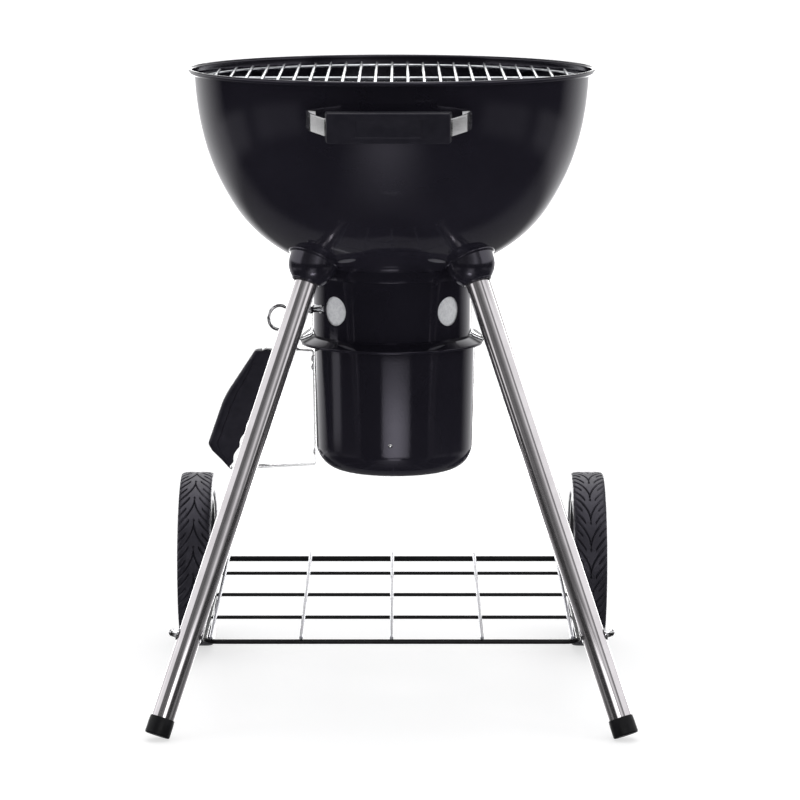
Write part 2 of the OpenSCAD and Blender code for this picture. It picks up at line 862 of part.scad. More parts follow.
module grate_bars(radius, wire, pitch, count, z) {
    for (i = [0:count - 1])
        let (x = (i - (count - 1) / 2) * pitch)
        translate([x, 0, z]) y_rod(wire, 2 * half_chord(radius, x));
}

module cooking_grate_ring() {
    color("silver") at_bowl() translate([0, 0, grate_z]) {
        ring(grate_r, grate_ring_wire);
        x_rod(grate_ring_wire, 2 * grate_r - grate_ring_wire / 2);
    }
}

module cooking_grate_rods() {
    rods_z = grate_z + grate_ring_wire + grate_rod_wire + touch;
    color("silver") at_bowl()
        grate_bars(grate_r + grate_rod_wire, grate_rod_wire, grate_pitch, grate_rods, rods_z);
}

module charcoal_grate_rings() {
    inner_share = 0.45;
    color("silver") at_bowl() translate([0, 0, coal_z]) {
        ring(coal_r, coal_wire);
        ring(coal_r * inner_share, coal_wire);
    }
}

module charcoal_grate_rods() {
    color("silver") at_bowl()
        grate_bars(coal_r, coal_wire, coal_pitch, coal_rods, coal_z + 2 * coal_wire + touch);
}

bowl();
grate_brackets();
coal_grate_brackets();
socket_front_left();
socket_front_right();
socket_rear_left();
socket_rear_right();
socket_bolts();
leg_front_left();
leg_front_right();
leg_rear_left();
leg_rear_right();
foot_cap_left();
foot_cap_right();
rear_leg_plugs();
handle_strap();
handle_grip();
handle_rivets();
vent_housing();
housing_collar();
housing_flange();
retaining_clips();
shelf_frame();
shelf_cross_wires();
shelf_long_wires();
shelf_studs();
dome_nuts();
axle();
axle_spacers();
axle_caps();
tyre_left();
wheel_left();
tyre_right();
wheel_right();
damper_sleeve();
damper_lever();
lever_fittings();
ash_bucket();
bucket_strap();
bucket_grip();
bucket_rivets();
cooking_grate_ring();
cooking_grate_rods();
charcoal_grate_rings();
charcoal_grate_rods();
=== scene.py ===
"""Looks of a kettle charcoal grill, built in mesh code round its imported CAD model.

Metres, +Z up, and the front faces -Y. Most shapes are drawn round the bowl's own axis:
at_axis carries them to its place in the frame.
"""

import functools
import json
from math import (acos, asin, atan, atan2, copysign, cos, degrees, exp, hypot,
                  pi, radians, sin, sqrt, tan)

import bmesh
import bpy
import numpy as np
from mathutils import Matrix, Vector


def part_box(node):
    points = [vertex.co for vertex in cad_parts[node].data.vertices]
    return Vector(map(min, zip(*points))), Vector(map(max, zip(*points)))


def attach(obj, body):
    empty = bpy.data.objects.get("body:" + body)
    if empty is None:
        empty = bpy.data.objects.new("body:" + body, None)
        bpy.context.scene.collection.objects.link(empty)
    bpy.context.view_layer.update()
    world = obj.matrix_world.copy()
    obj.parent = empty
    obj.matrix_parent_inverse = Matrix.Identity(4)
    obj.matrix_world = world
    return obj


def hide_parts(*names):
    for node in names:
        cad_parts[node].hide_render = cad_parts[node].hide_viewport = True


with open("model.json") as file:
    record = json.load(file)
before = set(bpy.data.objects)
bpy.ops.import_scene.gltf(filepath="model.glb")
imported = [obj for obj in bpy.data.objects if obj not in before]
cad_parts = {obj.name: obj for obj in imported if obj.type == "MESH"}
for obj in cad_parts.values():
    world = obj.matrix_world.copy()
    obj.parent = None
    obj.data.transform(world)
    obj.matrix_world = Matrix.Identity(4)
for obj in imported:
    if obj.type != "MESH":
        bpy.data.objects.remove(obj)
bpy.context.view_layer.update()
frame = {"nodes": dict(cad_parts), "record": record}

# ---- Sizes, in metres ----

TAU = 2 * pi
SIDES = ((-1, "left"), (1, "right"))
GAP = 0.00005  # between parts that touch
SHARP = 32  # degrees between faces at a sharp edge

LENS = 163.45  # millimetres
CAMERA_X = 0.0115
CAMERA_Z = 1.2329
CAMERA_AWAY = 5.1035
CAMERA_DOWN = 9.094  # degrees below level

bowl_low, bowl_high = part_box("bowl")
axis_place = Vector(((bowl_low.x + bowl_high.x) / 2, (bowl_low.y + bowl_high.y) / 2, 0))
at_axis = Matrix.Translation(axis_place)

RIM_R = (bowl_high.x - bowl_low.x) / 2
BEAD_R = 0.0035
RIM_Z = bowl_high.z - BEAD_R
BOWL_DEPTH = 0.291
BOWL_WALL = 0.0015
WALL_TOP_R = RIM_R - 0.006
ASH_HOLE_T = 0.85  # where along the wall's curve the ash hole starts

LEG_R = 0.01575
LEG_WALL = 0.0015
SOCKET_X = 0.108
SOCKET_Z = 0.6295
FOOT_X = 0.320
AXLE_X = 0.267
AXLE_R = 0.004
CAP_R = 0.0175
CAP_H = 0.025
CAP_FLAT = 0.0008  # cut off a foot cap by the floor
CAP_FLOOR = 0.004
LEG_SHORT = 0.006  # from a tube's end to the bowl
LEG_PAST_AXLE = 0.018

WHEEL_R = 0.131
TYRE_W = 0.050
TYRE_DEPTH = 0.033
WHEEL_X = 0.318
TREAD_DEPTH = 0.0018
TREAD_PITCHES = 20

HOUSING_R = 0.113
HOUSING_Z = 0.505
HOUSING_WALL = 0.0015
VENT_Z = 0.554
VENT_R = 0.0205
VENT_ANGLE = 45
DAMPER_TURN = 40
SLEEVE_R = HOUSING_R - HOUSING_WALL - 0.0007
SLEEVE_WALL = 0.0012
LEVER_ANGLE = 210
LEVER_R = 0.0024
EYE_R = 0.0167
EYE_DISTANCE = 0.181
EYE_DROP = 0.007  # of the lever's eye below its rod

BUCKET_R = 0.1145
BUCKET_TOP = 0.502
BUCKET_FLOOR = 0.320
BUCKET_X = 0.004
BUCKET_DRAFT = 0.003
BUCKET_WALL = 0.0012
BUCKET_CORNER = 0.034

SHELF_Z = 0.1275
FRAME_WIRE_R = 0.00325
SHELF_WIRE_R = 0.0025
LONG_PITCH = 0.123
CROSS_PITCH = 0.1445

GRATE_R = 0.268
GRATE_Z = 0.873
GRATE_WIRE_R = 0.0025
COAL_R = 0.214
COAL_Z = 0.704
COAL_WIRE_R = 0.003

HANDLE_REACH = 0.045
HANDLE_Z = 0.8345
HANDLE_WALL_R = 0.2772
HANDLE_TURN = -0.7  # degrees round the bowl
HANDLE_TILT = 5  # degrees
GRIP_W = 0.1625

front_lean = atan(sqrt(2) * (FOOT_X - SOCKET_X) / SOCKET_Z)
rear_lean = atan(sqrt(2) * (AXLE_X - SOCKET_X) / (SOCKET_Z - WHEEL_R))
rear_foot_x = AXLE_X + (AXLE_X - SOCKET_X) / (SOCKET_Z - WHEEL_R) * WHEEL_R
front_leg_l = SOCKET_Z / cos(front_lean)
rear_leg_l = SOCKET_Z / cos(rear_lean)
cap_start = (CAP_R * sin(front_lean) - CAP_FLAT) / cos(front_lean)
front_leg_low = cap_start + CAP_FLOOR + GAP
rear_leg_low = WHEEL_R / cos(rear_lean) - LEG_PAST_AXLE
shelf_front = FOOT_X - (FOOT_X - SOCKET_X) * SHELF_Z / SOCKET_Z

# ---- Placing and mesh helpers ----


def spaced(start, end, count):
    """count numbers from start to end, at even steps."""
    return [start + (end - start) * i / (count - 1) for i in range(count)]


def turn(angle, axis):
    return Matrix.Rotation(radians(angle), 4, axis)


def move(x, y, z):
    return Matrix.Translation((x, y, z))


def polar(radius, angle, z):
    return radius * cos(angle), radius * sin(angle), z


def arc(centre, radius, start, end, steps):
    """Points on a circle in 2D, from start to end in degrees."""
    angles = [radians(start + (end - start) * i / steps) for i in range(steps + 1)]
    return [(centre[0] + radius * cos(a), centre[1] + radius * sin(a)) for a in angles]


def rounded(points, radius, closed=True, steps=5):
    """A polyline whose corners are arcs. radius is one number or one for each corner."""
    count = len(points)
    corners = [Vector(p) for p in points]
    radii = [radius] * count if isinstance(radius, (int, float)) else radius
    path = []
    for i, corner in enumerate(corners):
        if radii[i] <= 0 or (not closed and i in (0, count - 1)):
            path.append(corner)
            continue
        before = corners[i - 1] - corner
        after = corners[(i + 1) % count] - corner
        half = before.angle(after) / 2
        cut = min(radii[i] / tan(half), 0.49 * min(before.length, after.length))
        before.normalize()
        after.normalize()
        centre = corner + (before + after).normalized() * (cut / cos(half))
        start, end = corner + before * cut - centre, corner + after * cut - centre
        sweep_angle = start.angle(end)
        for k in range(steps + 1):
            t = k / steps
            path.append(centre + (sin((1 - t) * sweep_angle) * start
                                  + sin(t * sweep_angle) * end) / sin(sweep_angle))
    return path


def rounded_rect(width, height, radius, steps=6):
    """A rounded rectangle round the origin, with the same number of points whatever its size."""
    w, h = width / 2 - radius, height / 2 - radius
    corners = ((w, h, 0), (-w, h, 90), (-w, -h, 180), (w, -h, 270))
    return [p for x, y, a in corners for p in arc((x, y), radius, a, a + 90, steps)]


def loft(loops, wrap=False, caps=False):
    """Joins loops of equally many points with quads. wrap joins the last loop to the first."""
    size = len(loops[0])
    verts = [Vector(p) for loop in loops for p in loop]
    pairs = list(zip(range(len(loops)), range(1, len(loops))))
    if wrap:
        pairs.append((len(loops) - 1, 0))
    faces = [(a * size + i, a * size + (i + 1) % size, b * size + (i + 1) % size, b * size + i)
             for a, b in pairs for i in range(size)]
    if caps:
        faces.append(tuple(range(size))[::-1])
        faces.append(tuple(range((len(loops) - 1) * size, len(loops) * size)))
    return verts, faces


def placed(part, matrix):
    return [matrix @ v for v in part[0]], part[1]


def revolve(profile, steps=96, closed=True):
    """Turns (radius, height) points round Z. A closed profile is a section of a solid ring."""
    angles = [TAU * i / steps for i in range(steps)]
    rings = [[polar(r, a, z) for a in angles] for r, z in profile]
    return loft(rings, wrap=closed)


def ring_wire(radius, wire, z=0.0, steps=192, sides=20):
    return revolve([(r, h + z) for r, h in arc((radius, 0), wire, 0, 360, sides)[:-1]], steps)


def sweep(path, section, normal, closed=False, scales=None):
    """Carries a 2D section along a flat path. The section's first axis is the path's normal."""
    path = [Vector(p) for p in path]
    normal = Vector(normal).normalized()
    count = len(path)
    loops = []
    for i, point in enumerate(path):
        if closed:
            tangent = path[(i + 1) % count] - path[i - 1]
        else:
            tangent = path[min(i + 1, count - 1)] - path[max(i - 1, 0)]
        side = tangent.normalized().cross(normal).normalized()
        size = scales[i] if scales else 1
        loops.append([point + normal * (u * size) + side * (v * size) for u, v in section])
    return loft(loops, wrap=closed, caps=not closed)


def wire(path, radius, normal, sides=16):
    """A round wire with softly cut ends along a flat open path."""
    path = [Vector(p) for p in path]
    chamfer, end_scale = 0.35 * radius, 0.62
    start, end = (path[1] - path[0]).normalized(), (path[-2] - path[-1]).normalized()
    path[1:1] = [path[0] + start * chamfer]
    path[-1:-1] = [path[-1] + end * chamfer]
    scales = [end_scale] + [1] * (len(path) - 2) + [end_scale]
    section = arc((0, 0), radius, 0, 360, sides)[:-1]
    return sweep(path, section, normal, scales=scales)


def rod(start, end, radius, sides=20):
    start, end = Vector(start), Vector(end)
    along = end - start
    normal = along.orthogonal()
    return wire([start, end], radius, normal, sides)


def strip(path, width, thickness, normal, closed=False):
    """A flat strap with rounded edges. Its width lies along the path's normal."""
    section = rounded_rect(width, thickness, thickness * 0.32, 3)
    return sweep(path, section, normal, closed=closed)


def dome(radius, height, rim=0.0):
    """A rivet or bolt head on z = 0, with its domed top upwards."""
    crown = [(radius * cos(a), rim + (height - rim) * sin(a)) for a in spaced(0, pi / 2, 9)]
    return revolve([(0, 0), (radius * 0.98, 0)] + crown, 40, closed=False)


def cylinder(radius, low, high, edge=0.0003, steps=64):
    """A capped cylinder from low to high with rounded edges."""
    section = rounded([(0, low), (radius, low), (radius, high), (0, high)],
                      [0, edge, edge, 0], False)
    return revolve(section, steps, closed=False)


def pipe(inner, outer, low, high, edge=0.0003, steps=96):
    """A tube wall from low to high with rounded edges."""
    section = rounded([(inner, low), (outer, low), (outer, high), (inner, high)], edge)
    return revolve(section, steps)


def hexagon(radius, bore, low, high):
    """A nut whose corners are chamfered, with a round bore."""
    count = 48
    chamfer = 0.08 * radius
    face_r = radius * 0.86
    sixth = pi / 3
    angles = [TAU * i / count for i in range(count)]

    def outline(z):
        flat = radius * cos(sixth / 2)
        reach = [flat / cos((a + sixth / 2) % sixth - sixth / 2) for a in angles]
        return [polar(r, a, z) for r, a in zip(reach, angles)]

    def circle(size, z):
        return [polar(size, a, z) for a in angles]

    loops = [circle(bore, low), circle(face_r, low), outline(low + chamfer),
             outline(high - chamfer), circle(face_r, high), circle(bore, high)]
    return loft(loops, wrap=True)


def add_object(name, data):
    thing = bpy.data.objects.new(name, data)
    bpy.context.scene.collection.objects.link(thing)
    return thing


def closed_mesh(name, parts):
    """Closed parts carried to the bowl's axis, as one mesh whose faces look outwards."""
    build = bmesh.new()
    for part in parts:
        verts, faces = placed(part, at_axis)
        made = [build.verts.new(v) for v in verts]
        for face in faces:
            build.faces.new([made[i] for i in face])
    bmesh.ops.remove_doubles(build, verts=build.verts, dist=1e-7)
    bmesh.ops.dissolve_degenerate(build, edges=build.edges, dist=1e-8)
    bmesh.ops.recalc_face_normals(build, faces=build.faces)
    mesh = bpy.data.meshes.new(name)
    build.to_mesh(mesh)
    build.free()
    return mesh


def smooth_but_for(mesh, sharp):
    """Smooth shading, with sharp edges where faces meet at more than sharp degrees."""
    mesh.shade_smooth()
    mesh.set_sharp_from_angle(angle=radians(sharp))


def piece(name, parts, slot, node, body="stand", sharp=SHARP, look=None):
    """One piece from closed parts, in its slot's finish or its own variant of it.

    It rides on a body and stands for a CAD node.
    """
    mesh = closed_mesh(name, parts)
    smooth_but_for(mesh, sharp)
    mesh.materials.append(LOOKS[look or slot])
    made = add_object(name, mesh)
    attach(made, body)
    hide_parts(node)
    return made


def cut_away(made, parts):
    """Takes closed parts out of a piece for good."""
    tools = [add_object("cutter", closed_mesh("cutter", [part])) for part in parts]
    for tool in tools:
        modifier = made.modifiers.new("cut", "BOOLEAN")
        modifier.object = tool
        modifier.operation = "DIFFERENCE"
        modifier.solver = "EXACT"
    graph = bpy.context.evaluated_depsgraph_get()
    cut = bpy.data.meshes.new_from_object(made.evaluated_get(graph))
    made.modifiers.clear()
    made.data = cut
    smooth_but_for(cut, SHARP)
    for tool in tools:
        bpy.data.objects.remove(tool)


# ---- Materials ----


class Graph:
    """A node tree being built, with short ways to add nodes."""

    def __init__(self, tree):
        self.tree = tree

    def feed(self, source, target):
        """Sets an input socket to a constant, or links another node's output to it."""
        if isinstance(source, bpy.types.NodeSocket):
            self.tree.links.new(source, target)
        else:
            target.default_value = source

    def node(self, kind, **inputs):
        node = self.tree.nodes.new(kind)
        for name, source in inputs.items():
            self.feed(source, node.inputs[name.replace("_", " ")])
        return node

    def fade(self, source, start, end, before=0.0, beyond=1.0, curve="SMOOTHSTEP"):
        """before up to start and beyond past end, with a change between them."""
        node = self.node("ShaderNodeMapRange", Value=source, From_Min=start, From_Max=end,
                         To_Min=before, To_Max=beyond)
        node.interpolation_type = curve
        return node.outputs["Result"]

    def until(self, source, start, end):
        return self.fade(source, start, end, 1.0, 0.0)

    def maths(self, kind, a, b=0.0):
        node = self.tree.nodes.new("ShaderNodeMath")
        node.operation = kind
        self.feed(a, node.inputs[0])
        self.feed(b, node.inputs[1])
        return node.outputs[0]

    def product(self, *factors):
        return functools.reduce(lambda a, b: self.maths("MULTIPLY", a, b), factors)

    def total(self, *terms):
        return functools.reduce(lambda a, b: self.maths("ADD", a, b), terms)


class Look(Graph):
    """A material being built, with constant values on its shader's own sockets."""

    def __init__(self, name, **sockets):
        self.material = bpy.data.materials.new(name)
        self.material.use_nodes = True
        super().__init__(self.material.node_tree)
        self.shader = self.tree.nodes["Principled BSDF"].inputs
        for name, value in sockets.items():
            self.shader[name.replace("_", " ")].default_value = value

    def place(self):
        return self.node("ShaderNodeTexCoord").outputs["Object"]

    def noise(self, scale, detail, roughness=0.55, stretch=(1, 1, 1)):
        place = self.node("ShaderNodeMapping", Vector=self.place(), Scale=stretch)
        return self.node("ShaderNodeTexNoise", Vector=place.outputs["Vector"], Scale=scale,
                         Detail=detail, Roughness=roughness).outputs["Fac"]

    def cells(self, scale):
        cells = self.node("ShaderNodeTexVoronoi", Vector=self.place(), Scale=scale)
        return cells.outputs["Distance"]

    def tint(self, source, dark, light, low=0.35, high=0.65):
        """The colour runs from dark to light while source runs from low to high."""
        ramp = self.node("ShaderNodeValToRGB", Fac=source)
        for mark, place, colour in zip(ramp.color_ramp.elements, (low, high), (dark, light)):
            mark.position = place
            mark.color = (*colour, 1)
        self.feed(ramp.outputs["Color"], self.shader["Base Color"])

    def rough(self, source, smooth, coarse, low=0.3, high=0.7):
        """The roughness runs from smooth to coarse while source runs from low to high."""
        self.feed(self.fade(source, low, high, smooth, coarse, "LINEAR"), self.shader["Roughness"])

    def bump(self, source, height):
        """source as a relief of this height, in metres. Further calls add to it."""
        bump = self.node("ShaderNodeBump", Height=source, Distance=height, Strength=1.0)
        normal = self.shader["Normal"]
        if normal.is_linked:
            self.feed(normal.links[0].from_socket, bump.inputs["Normal"])
        self.feed(bump.outputs["Normal"], normal)


LOOKS = {}

# Black surfaces reflect white a little blue.
COOL = (0.88, 0.84, 1.0, 1.0)


def finish(name, tint, rough, *reliefs, **sockets):
    """A finish whose colour, roughness and reliefs each follow their own pattern.

    tint, rough and every relief begin with the pattern's scale, its detail and what else
    Look.noise takes. A scale alone stands for pebbled cells. Behind it come the darkest and
    the lightest colour, the least and the most roughness, or the relief's height in metres.
    """
    look = Look(name, **sockets)
    *pattern, dark, light = tint
    look.tint(look.noise(*pattern), dark, light)
    *pattern, smooth, coarse = rough
    look.rough(look.noise(*pattern), smooth, coarse)
    for *pattern, height in reliefs:
        look.bump(look.noise(*pattern) if len(pattern) > 1 else look.cells(*pattern), height)
    LOOKS[name] = look.material


def enamel(name, smooth, coarse, peel, level):
    """Black vitreous enamel. peel is the height of its orange-peel relief, in metres."""
    finish(name, (9, 4, (0.0106, 0.0098, 0.0146), (0.0130, 0.0121, 0.0178)),
           (30, 3, smooth, coarse), (420, 2, peel), (60, 2, 0.00004),
           IOR=1.5, Specular_IOR_Level=level, Specular_Tint=COOL)


def sleeve_metal():
    """Galvanised sheet, with its spangle in both colour and gloss."""
    look = Look("sleeve_metal", Metallic=0.25)
    look.tint(look.noise(190, 5, 0.7), (0.66, 0.67, 0.70), (0.90, 0.91, 0.93), 0.32, 0.68)
    look.rough(look.cells(260), 0.38, 0.6, 0.1, 0.6)
    look.bump(look.noise(420, 4), 0.00014)
    LOOKS["sleeve_metal"] = look.material


def make_looks():
    enamel("enamel", 0.03, 0.06, 0.00004, 0.5)
    enamel("can_enamel", 0.08, 0.13, 0.00009, 0.5)
    enamel("cup_enamel", 0.14, 0.2, 0.00004, 0.9)
    sleeve_metal()
    finish("chrome_tube", (25, 3, (0.615, 0.587, 0.607), (0.695, 0.668, 0.690)),
           (160, 4, 0.6, 0.04, 0.08), (700, 2, 0.000012), Metallic=0.93)
    brushed = (60, 4, 0.6, (1, 1, 28))
    finish("strap_steel", (*brushed, (0.74, 0.74, 0.755), (0.88, 0.88, 0.89)),
           (*brushed, 0.16, 0.28), (*brushed, 0.00003), Metallic=1.0)
    finish("zinc_wire", (140, 4, (0.26, 0.26, 0.285), (0.38, 0.38, 0.41)),
           (300, 3, 0.26, 0.42), (900, 3, 0.00003), Metallic=1.0)
    finish("fastener", (220, 3, (0.64, 0.64, 0.66), (0.80, 0.80, 0.82)),
           (260, 3, 0.09, 0.2), (900, 2, 0.00002), Metallic=1.0)
    finish("grate_rod", (90, 3, (0.52, 0.53, 0.56), (0.70, 0.71, 0.74)),
           (300, 3, 0.12, 0.26), (800, 2, 0.00002), Metallic=1.0)
    finish("foot_rubber", (120, 4, (0.004, 0.004, 0.005), (0.007, 0.007, 0.009)),
           (200, 3, 0.36, 0.52), (900, 3, 0.00006), Specular_IOR_Level=0.22)
    finish("grip_plastic", (70, 4, (0.0105, 0.0100, 0.0150), (0.0145, 0.0139, 0.0200)),
           (150, 3, 0.34, 0.46), (1400, 0.00005), Specular_IOR_Level=0.3, Specular_Tint=COOL)
    finish("black_wire", (80, 3, (0.002, 0.002, 0.003), (0.004, 0.004, 0.005)),
           (240, 3, 0.26, 0.42), (700, 2, 0.00005), Specular_IOR_Level=0.2)
    finish("tyre_rubber", (60, 5, 0.6, (0.0105, 0.0103, 0.0140), (0.0180, 0.0176, 0.0232)),
           (180, 4, 0.34, 0.46), (1300, 3, 0.0001), Specular_IOR_Level=0.7, Specular_Tint=COOL)
    finish("wheel_plastic", (50, 4, (0.022, 0.022, 0.025), (0.032, 0.032, 0.036)),
           (160, 3, 0.3, 0.45), (1100, 0.00006), Specular_IOR_Level=0.35)


def dress_cad_nodes():
    """Every CAD node takes the finish of its slot, so that those which stay shown have one."""
    for row in frame["record"]["subparts"]:
        mesh = frame["nodes"][row["node"]].data
        mesh.materials.clear()
        mesh.materials.append(LOOKS[row["material_slot"]])


# ---- Bowl ----

BOWL_CURVE = [Vector((WALL_TOP_R, RIM_Z)), Vector((WALL_TOP_R - 0.007, RIM_Z - 0.63 * BOWL_DEPTH)),
              Vector((0.64 * WALL_TOP_R, RIM_Z - BOWL_DEPTH)), Vector((0, RIM_Z - BOWL_DEPTH))]


def wall_point(t, inwards=0.0):
    """A point on the bowl's outside, from the rim at 0 to the axis at 1, or inwards of it."""
    a, b, c, d = BOWL_CURVE
    s = 1 - t
    point = s ** 3 * a + 3 * t * s * s * b + 3 * t * t * s * c + t ** 3 * d
    slope = (s * s * (b - a) + 2 * t * s * (c - b) + t * t * (d - c)).normalized()
    return point + inwards * Vector((slope.y, -slope.x))


surface_points = [wall_point(t) for t in spaced(1, 0, 800)]
surface_r = np.array([p.x for p in surface_points])
surface_z = np.array([p.y for p in surface_points])


def bowl_z(radius):
    """Height of the bowl's outside at this distance from its axis."""
    return float(np.interp(radius, surface_r, surface_z))


def bowl():
    """The bowl's wall and rolled rim, open at the ash hole."""
    steps = 56
    ts = [ASH_HOLE_T * (i / steps) for i in range(1, steps + 1)]
    outside = [tuple(wall_point(t)) for t in reversed(ts)]
    bead = arc((RIM_R - BEAD_R, RIM_Z), BEAD_R, -140, 190, 22)
    section = outside + bead + [tuple(wall_point(t, BOWL_WALL)) for t in ts]
    piece("bowl_shell", [revolve(section, 288)], "enamel", "bowl")


def wall_brackets(top_z, reach_r):
    """Bent straps that carry a grate: a foot on the bowl's wall and a ledge under the ring."""
    count, width, thickness, bend = 4, 0.016, 0.002, 0.003
    foot_z, ledge_z = top_z - 0.024, top_z - thickness / 2

    def wall_r(z, gap):
        return float(np.interp(z, surface_z, surface_r)) - BOWL_WALL - thickness / 2 - gap

    path = rounded([(wall_r(foot_z, 0.0002), 0, foot_z), (wall_r(top_z, 0.0005), 0, ledge_z),
                    (reach_r, 0, ledge_z)], bend, False)
    return [placed(strip(path, width, thickness, (0, 1, 0)), turn(45 + 360 / count * i, "Z"))
            for i in range(count)]


def brackets():
    gap, grate_ledge, coal_ledge = 0.00035, 0.010, 0.012
    upper = wall_brackets(GRATE_Z - GRATE_WIRE_R - gap, GRATE_R - grate_ledge)
    lower = wall_brackets(COAL_Z - COAL_WIRE_R - gap, COAL_R - coal_ledge)
    piece("grate_bracket_set", upper, "enamel", "grate_brackets")
    piece("coal_bracket_set", lower, "enamel", "coal_grate_brackets")


# ---- Legs ----


def along_leg(front, side):
    """Local +Z runs up a leg from the floor towards the bowl, round the bowl's axis."""
    if front:
        angle, lean, base = (45 if side < 0 else 135), front_lean, FOOT_X
    else:
        angle, lean, base = (-45 if side < 0 else -135), rear_lean, rear_foot_x
    return turn(angle, "Z") @ move(-sqrt(2) * base, 0, 0) @ Matrix.Rotation(lean, 4, "Y")


def reach_bowl(place, radius, angle, start):
    """How far up local Z a line at this radius and angle meets the outside of the bowl."""
    halvings = 26
    low, high = start - 0.03, start + 0.04
    for _ in range(halvings):
        mid = (low + high) / 2
        point = place @ Vector(polar(radius, angle, mid))
        if point.z < bowl_z(hypot(point.x, point.y)):
            low = mid
        else:
            high = mid
    return low


SOCKET_R = 0.034
SOCKET_DROP = 0.005
SOCKET_H = 0.031
BRIM_R = 0.037
COLLAR_R = 0.0193
COLLAR_WIRE = 0.0024


def socket(place, leg_l):
    """A cup whose brim follows the bowl and whose lower end is rolled round the leg."""
    brim_t, steps = 0.0022, 96
    bore = LEG_R + 0.0004
    fillet = ((0.0002, -0.0006), (0.0010, 0))
    lip = ((-0.0010, 0), (-0.0003, 0.0004), (0, 0.0012))
    ball = [(SOCKET_R * cos(a), leg_l - SOCKET_DROP + SOCKET_R * sin(a))
            for a in spaced(radians(-50), radians(-1), 18)]
    bead = arc((COLLAR_R, leg_l - SOCKET_H), COLLAR_WIRE, -180, 55, 16)
    loops = []
    for i in range(steps):
        angle = TAU * i / steps
        brim, under, middle = (reach_bowl(place, r, angle, leg_l) for r in (BRIM_R, SOCKET_R, bore))
        section = [(bore, leg_l - SOCKET_H)] + bead
        section += [(r, min(z, under - brim_t - 0.001)) for r, z in ball]
        section += [(SOCKET_R + out, under - brim_t + up) for out, up in fillet]
        section += [(BRIM_R + out, brim - brim_t + up) for out, up in lip]
        section += [(BRIM_R, brim + 0.0002), (SOCKET_R, under + 0.0003), (bore, middle + 0.0003)]
        loops.append([polar(r, angle, z) for r, z in section])
    return placed(loft(loops, wrap=True), place)


def legs():
    for front, row, low, leg_l in ((True, "front", front_leg_low, front_leg_l),
                                   (False, "rear", rear_leg_low, rear_leg_l)):
        tube = pipe(LEG_R - LEG_WALL, LEG_R, low, leg_l - LEG_SHORT, 0.0004, 128)
        for side, hand in SIDES:
            place = along_leg(front, side)
            piece(f"{row}_{hand}_tube", [placed(tube, place)], "chrome_tube", f"leg_{row}_{hand}")
            piece(f"{row}_{hand}_cup", [socket(place, leg_l)], "enamel",
                  f"socket_{row}_{hand}", sharp=45, look="cup_enamel")


def foot_caps():
    """Rubber cups over the front legs' ends, flat where they meet the floor."""
    mouth_r, bore = LEG_R + 0.0012, LEG_R + GAP
    section = rounded([(0, 0), (CAP_R, 0), (CAP_R - 0.0001, 0.017), (mouth_r, CAP_H), (bore, CAP_H),
                       (bore, CAP_FLOOR), (0, CAP_FLOOR)],
                      [0, 0.0022, 0.004, 0.0007, 0.0003, 0.0003, 0], False)
    for side, hand in SIDES:
        verts, faces = placed(revolve(section, 128, closed=False),
                              along_leg(True, side) @ move(0, 0, cap_start))
        verts = [Vector((v.x, v.y, max(v.z, 0.0))) for v in verts]
        piece(f"foot_{hand}_cap", [(verts, faces)], "foot_rubber", f"foot_cap_{hand}")


def leg_plugs():
    """A head over each rear leg's lower end, with a spigot inside the tube."""
    head_r, head_h, edge = LEG_R - 0.0005, 0.0026, 0.001
    spigot_r, spigot_l = LEG_R - LEG_WALL - 0.0001, 0.008
    plug = [cylinder(head_r, rear_leg_low - head_h, rear_leg_low - GAP, edge),
            cylinder(spigot_r, rear_leg_low, rear_leg_low + spigot_l)]
    parts = [placed(part, along_leg(False, side)) for side in (-1, 1) for part in plug]
    piece("leg_end_plugs", parts, "grip_plastic", "rear_leg_plugs")


def socket_bolts():
    """Hexagon heads with washers inside the bowl, square to its wall at each leg."""
    washer_r, washer_t, head_r, head_h = 0.0078, 0.0014, 0.0065, 0.0038
    parts = []
    for front, side in ((True, -1), (True, 1), (False, -1), (False, 1)):
        place = along_leg(front, side)
        seat = reach_bowl(place, 0.0, 0.0, front_leg_l if front else rear_leg_l)
        seat += BOWL_WALL + 0.0004
        head = seat + washer_t
        parts.append(placed(cylinder(washer_r, seat, head), place))
        parts.append(placed(hexagon(head_r, 0.0, head, head + head_h), place))
    piece("bolt_heads", parts, "fastener", "socket_bolts")


# ---- Front handle ----

at_handle = turn(HANDLE_TURN, "Z") @ move(0, -HANDLE_WALL_R, HANDLE_Z) @ turn(HANDLE_TILT, "X")
STRAP_T = 0.0025
STRAP_H = 0.024
FOOT_TURN = 22.5


def handle_foot(side):
    """Where the strap's end lies on the wall. Local -Y points straight out of the bowl."""
    return (move(0, HANDLE_WALL_R, 0) @ turn(side * FOOT_TURN, "Z")
            @ move(0, -HANDLE_WALL_R - 0.0004, 0))


def front_handle():
    """The strap lies flat on the wall, runs out to a knee, and slants in to the grip."""
    rivet_r, rivet_h, rivet_x = 0.004, 0.002, 0.005
    face_y = -HANDLE_REACH + STRAP_T / 2
    foot_end, heel = (handle_foot(1) @ Vector((k, -STRAP_T / 2, 0)) for k in (-0.010, 0.0049))
    knee = Vector((0.103, -0.005, 0))
    right = [foot_end, heel, knee, Vector((GRIP_W / 2 + 0.0008, face_y, 0))]
    outline = right + [Vector((-p.x, p.y, 0)) for p in reversed(right)]
    bends = [0, 0.0028, 0.007, 0.006]
    path = rounded(outline, bends + bends[::-1], False, 8)
    strap = placed(strip(path, STRAP_H, STRAP_T, (0, 0, 1)), at_handle)
    piece("front_strap", [strap], "strap_steel", "handle_strap")

    heads = [placed(dome(rivet_r, rivet_h), at_handle @ handle_foot(side)
                    @ move(-rivet_x * side, -STRAP_T, 0) @ turn(90, "X")) for side in (-1, 1)]
    piece("front_rivets", heads, "fastener", "handle_rivets")
    front_grip(face_y)


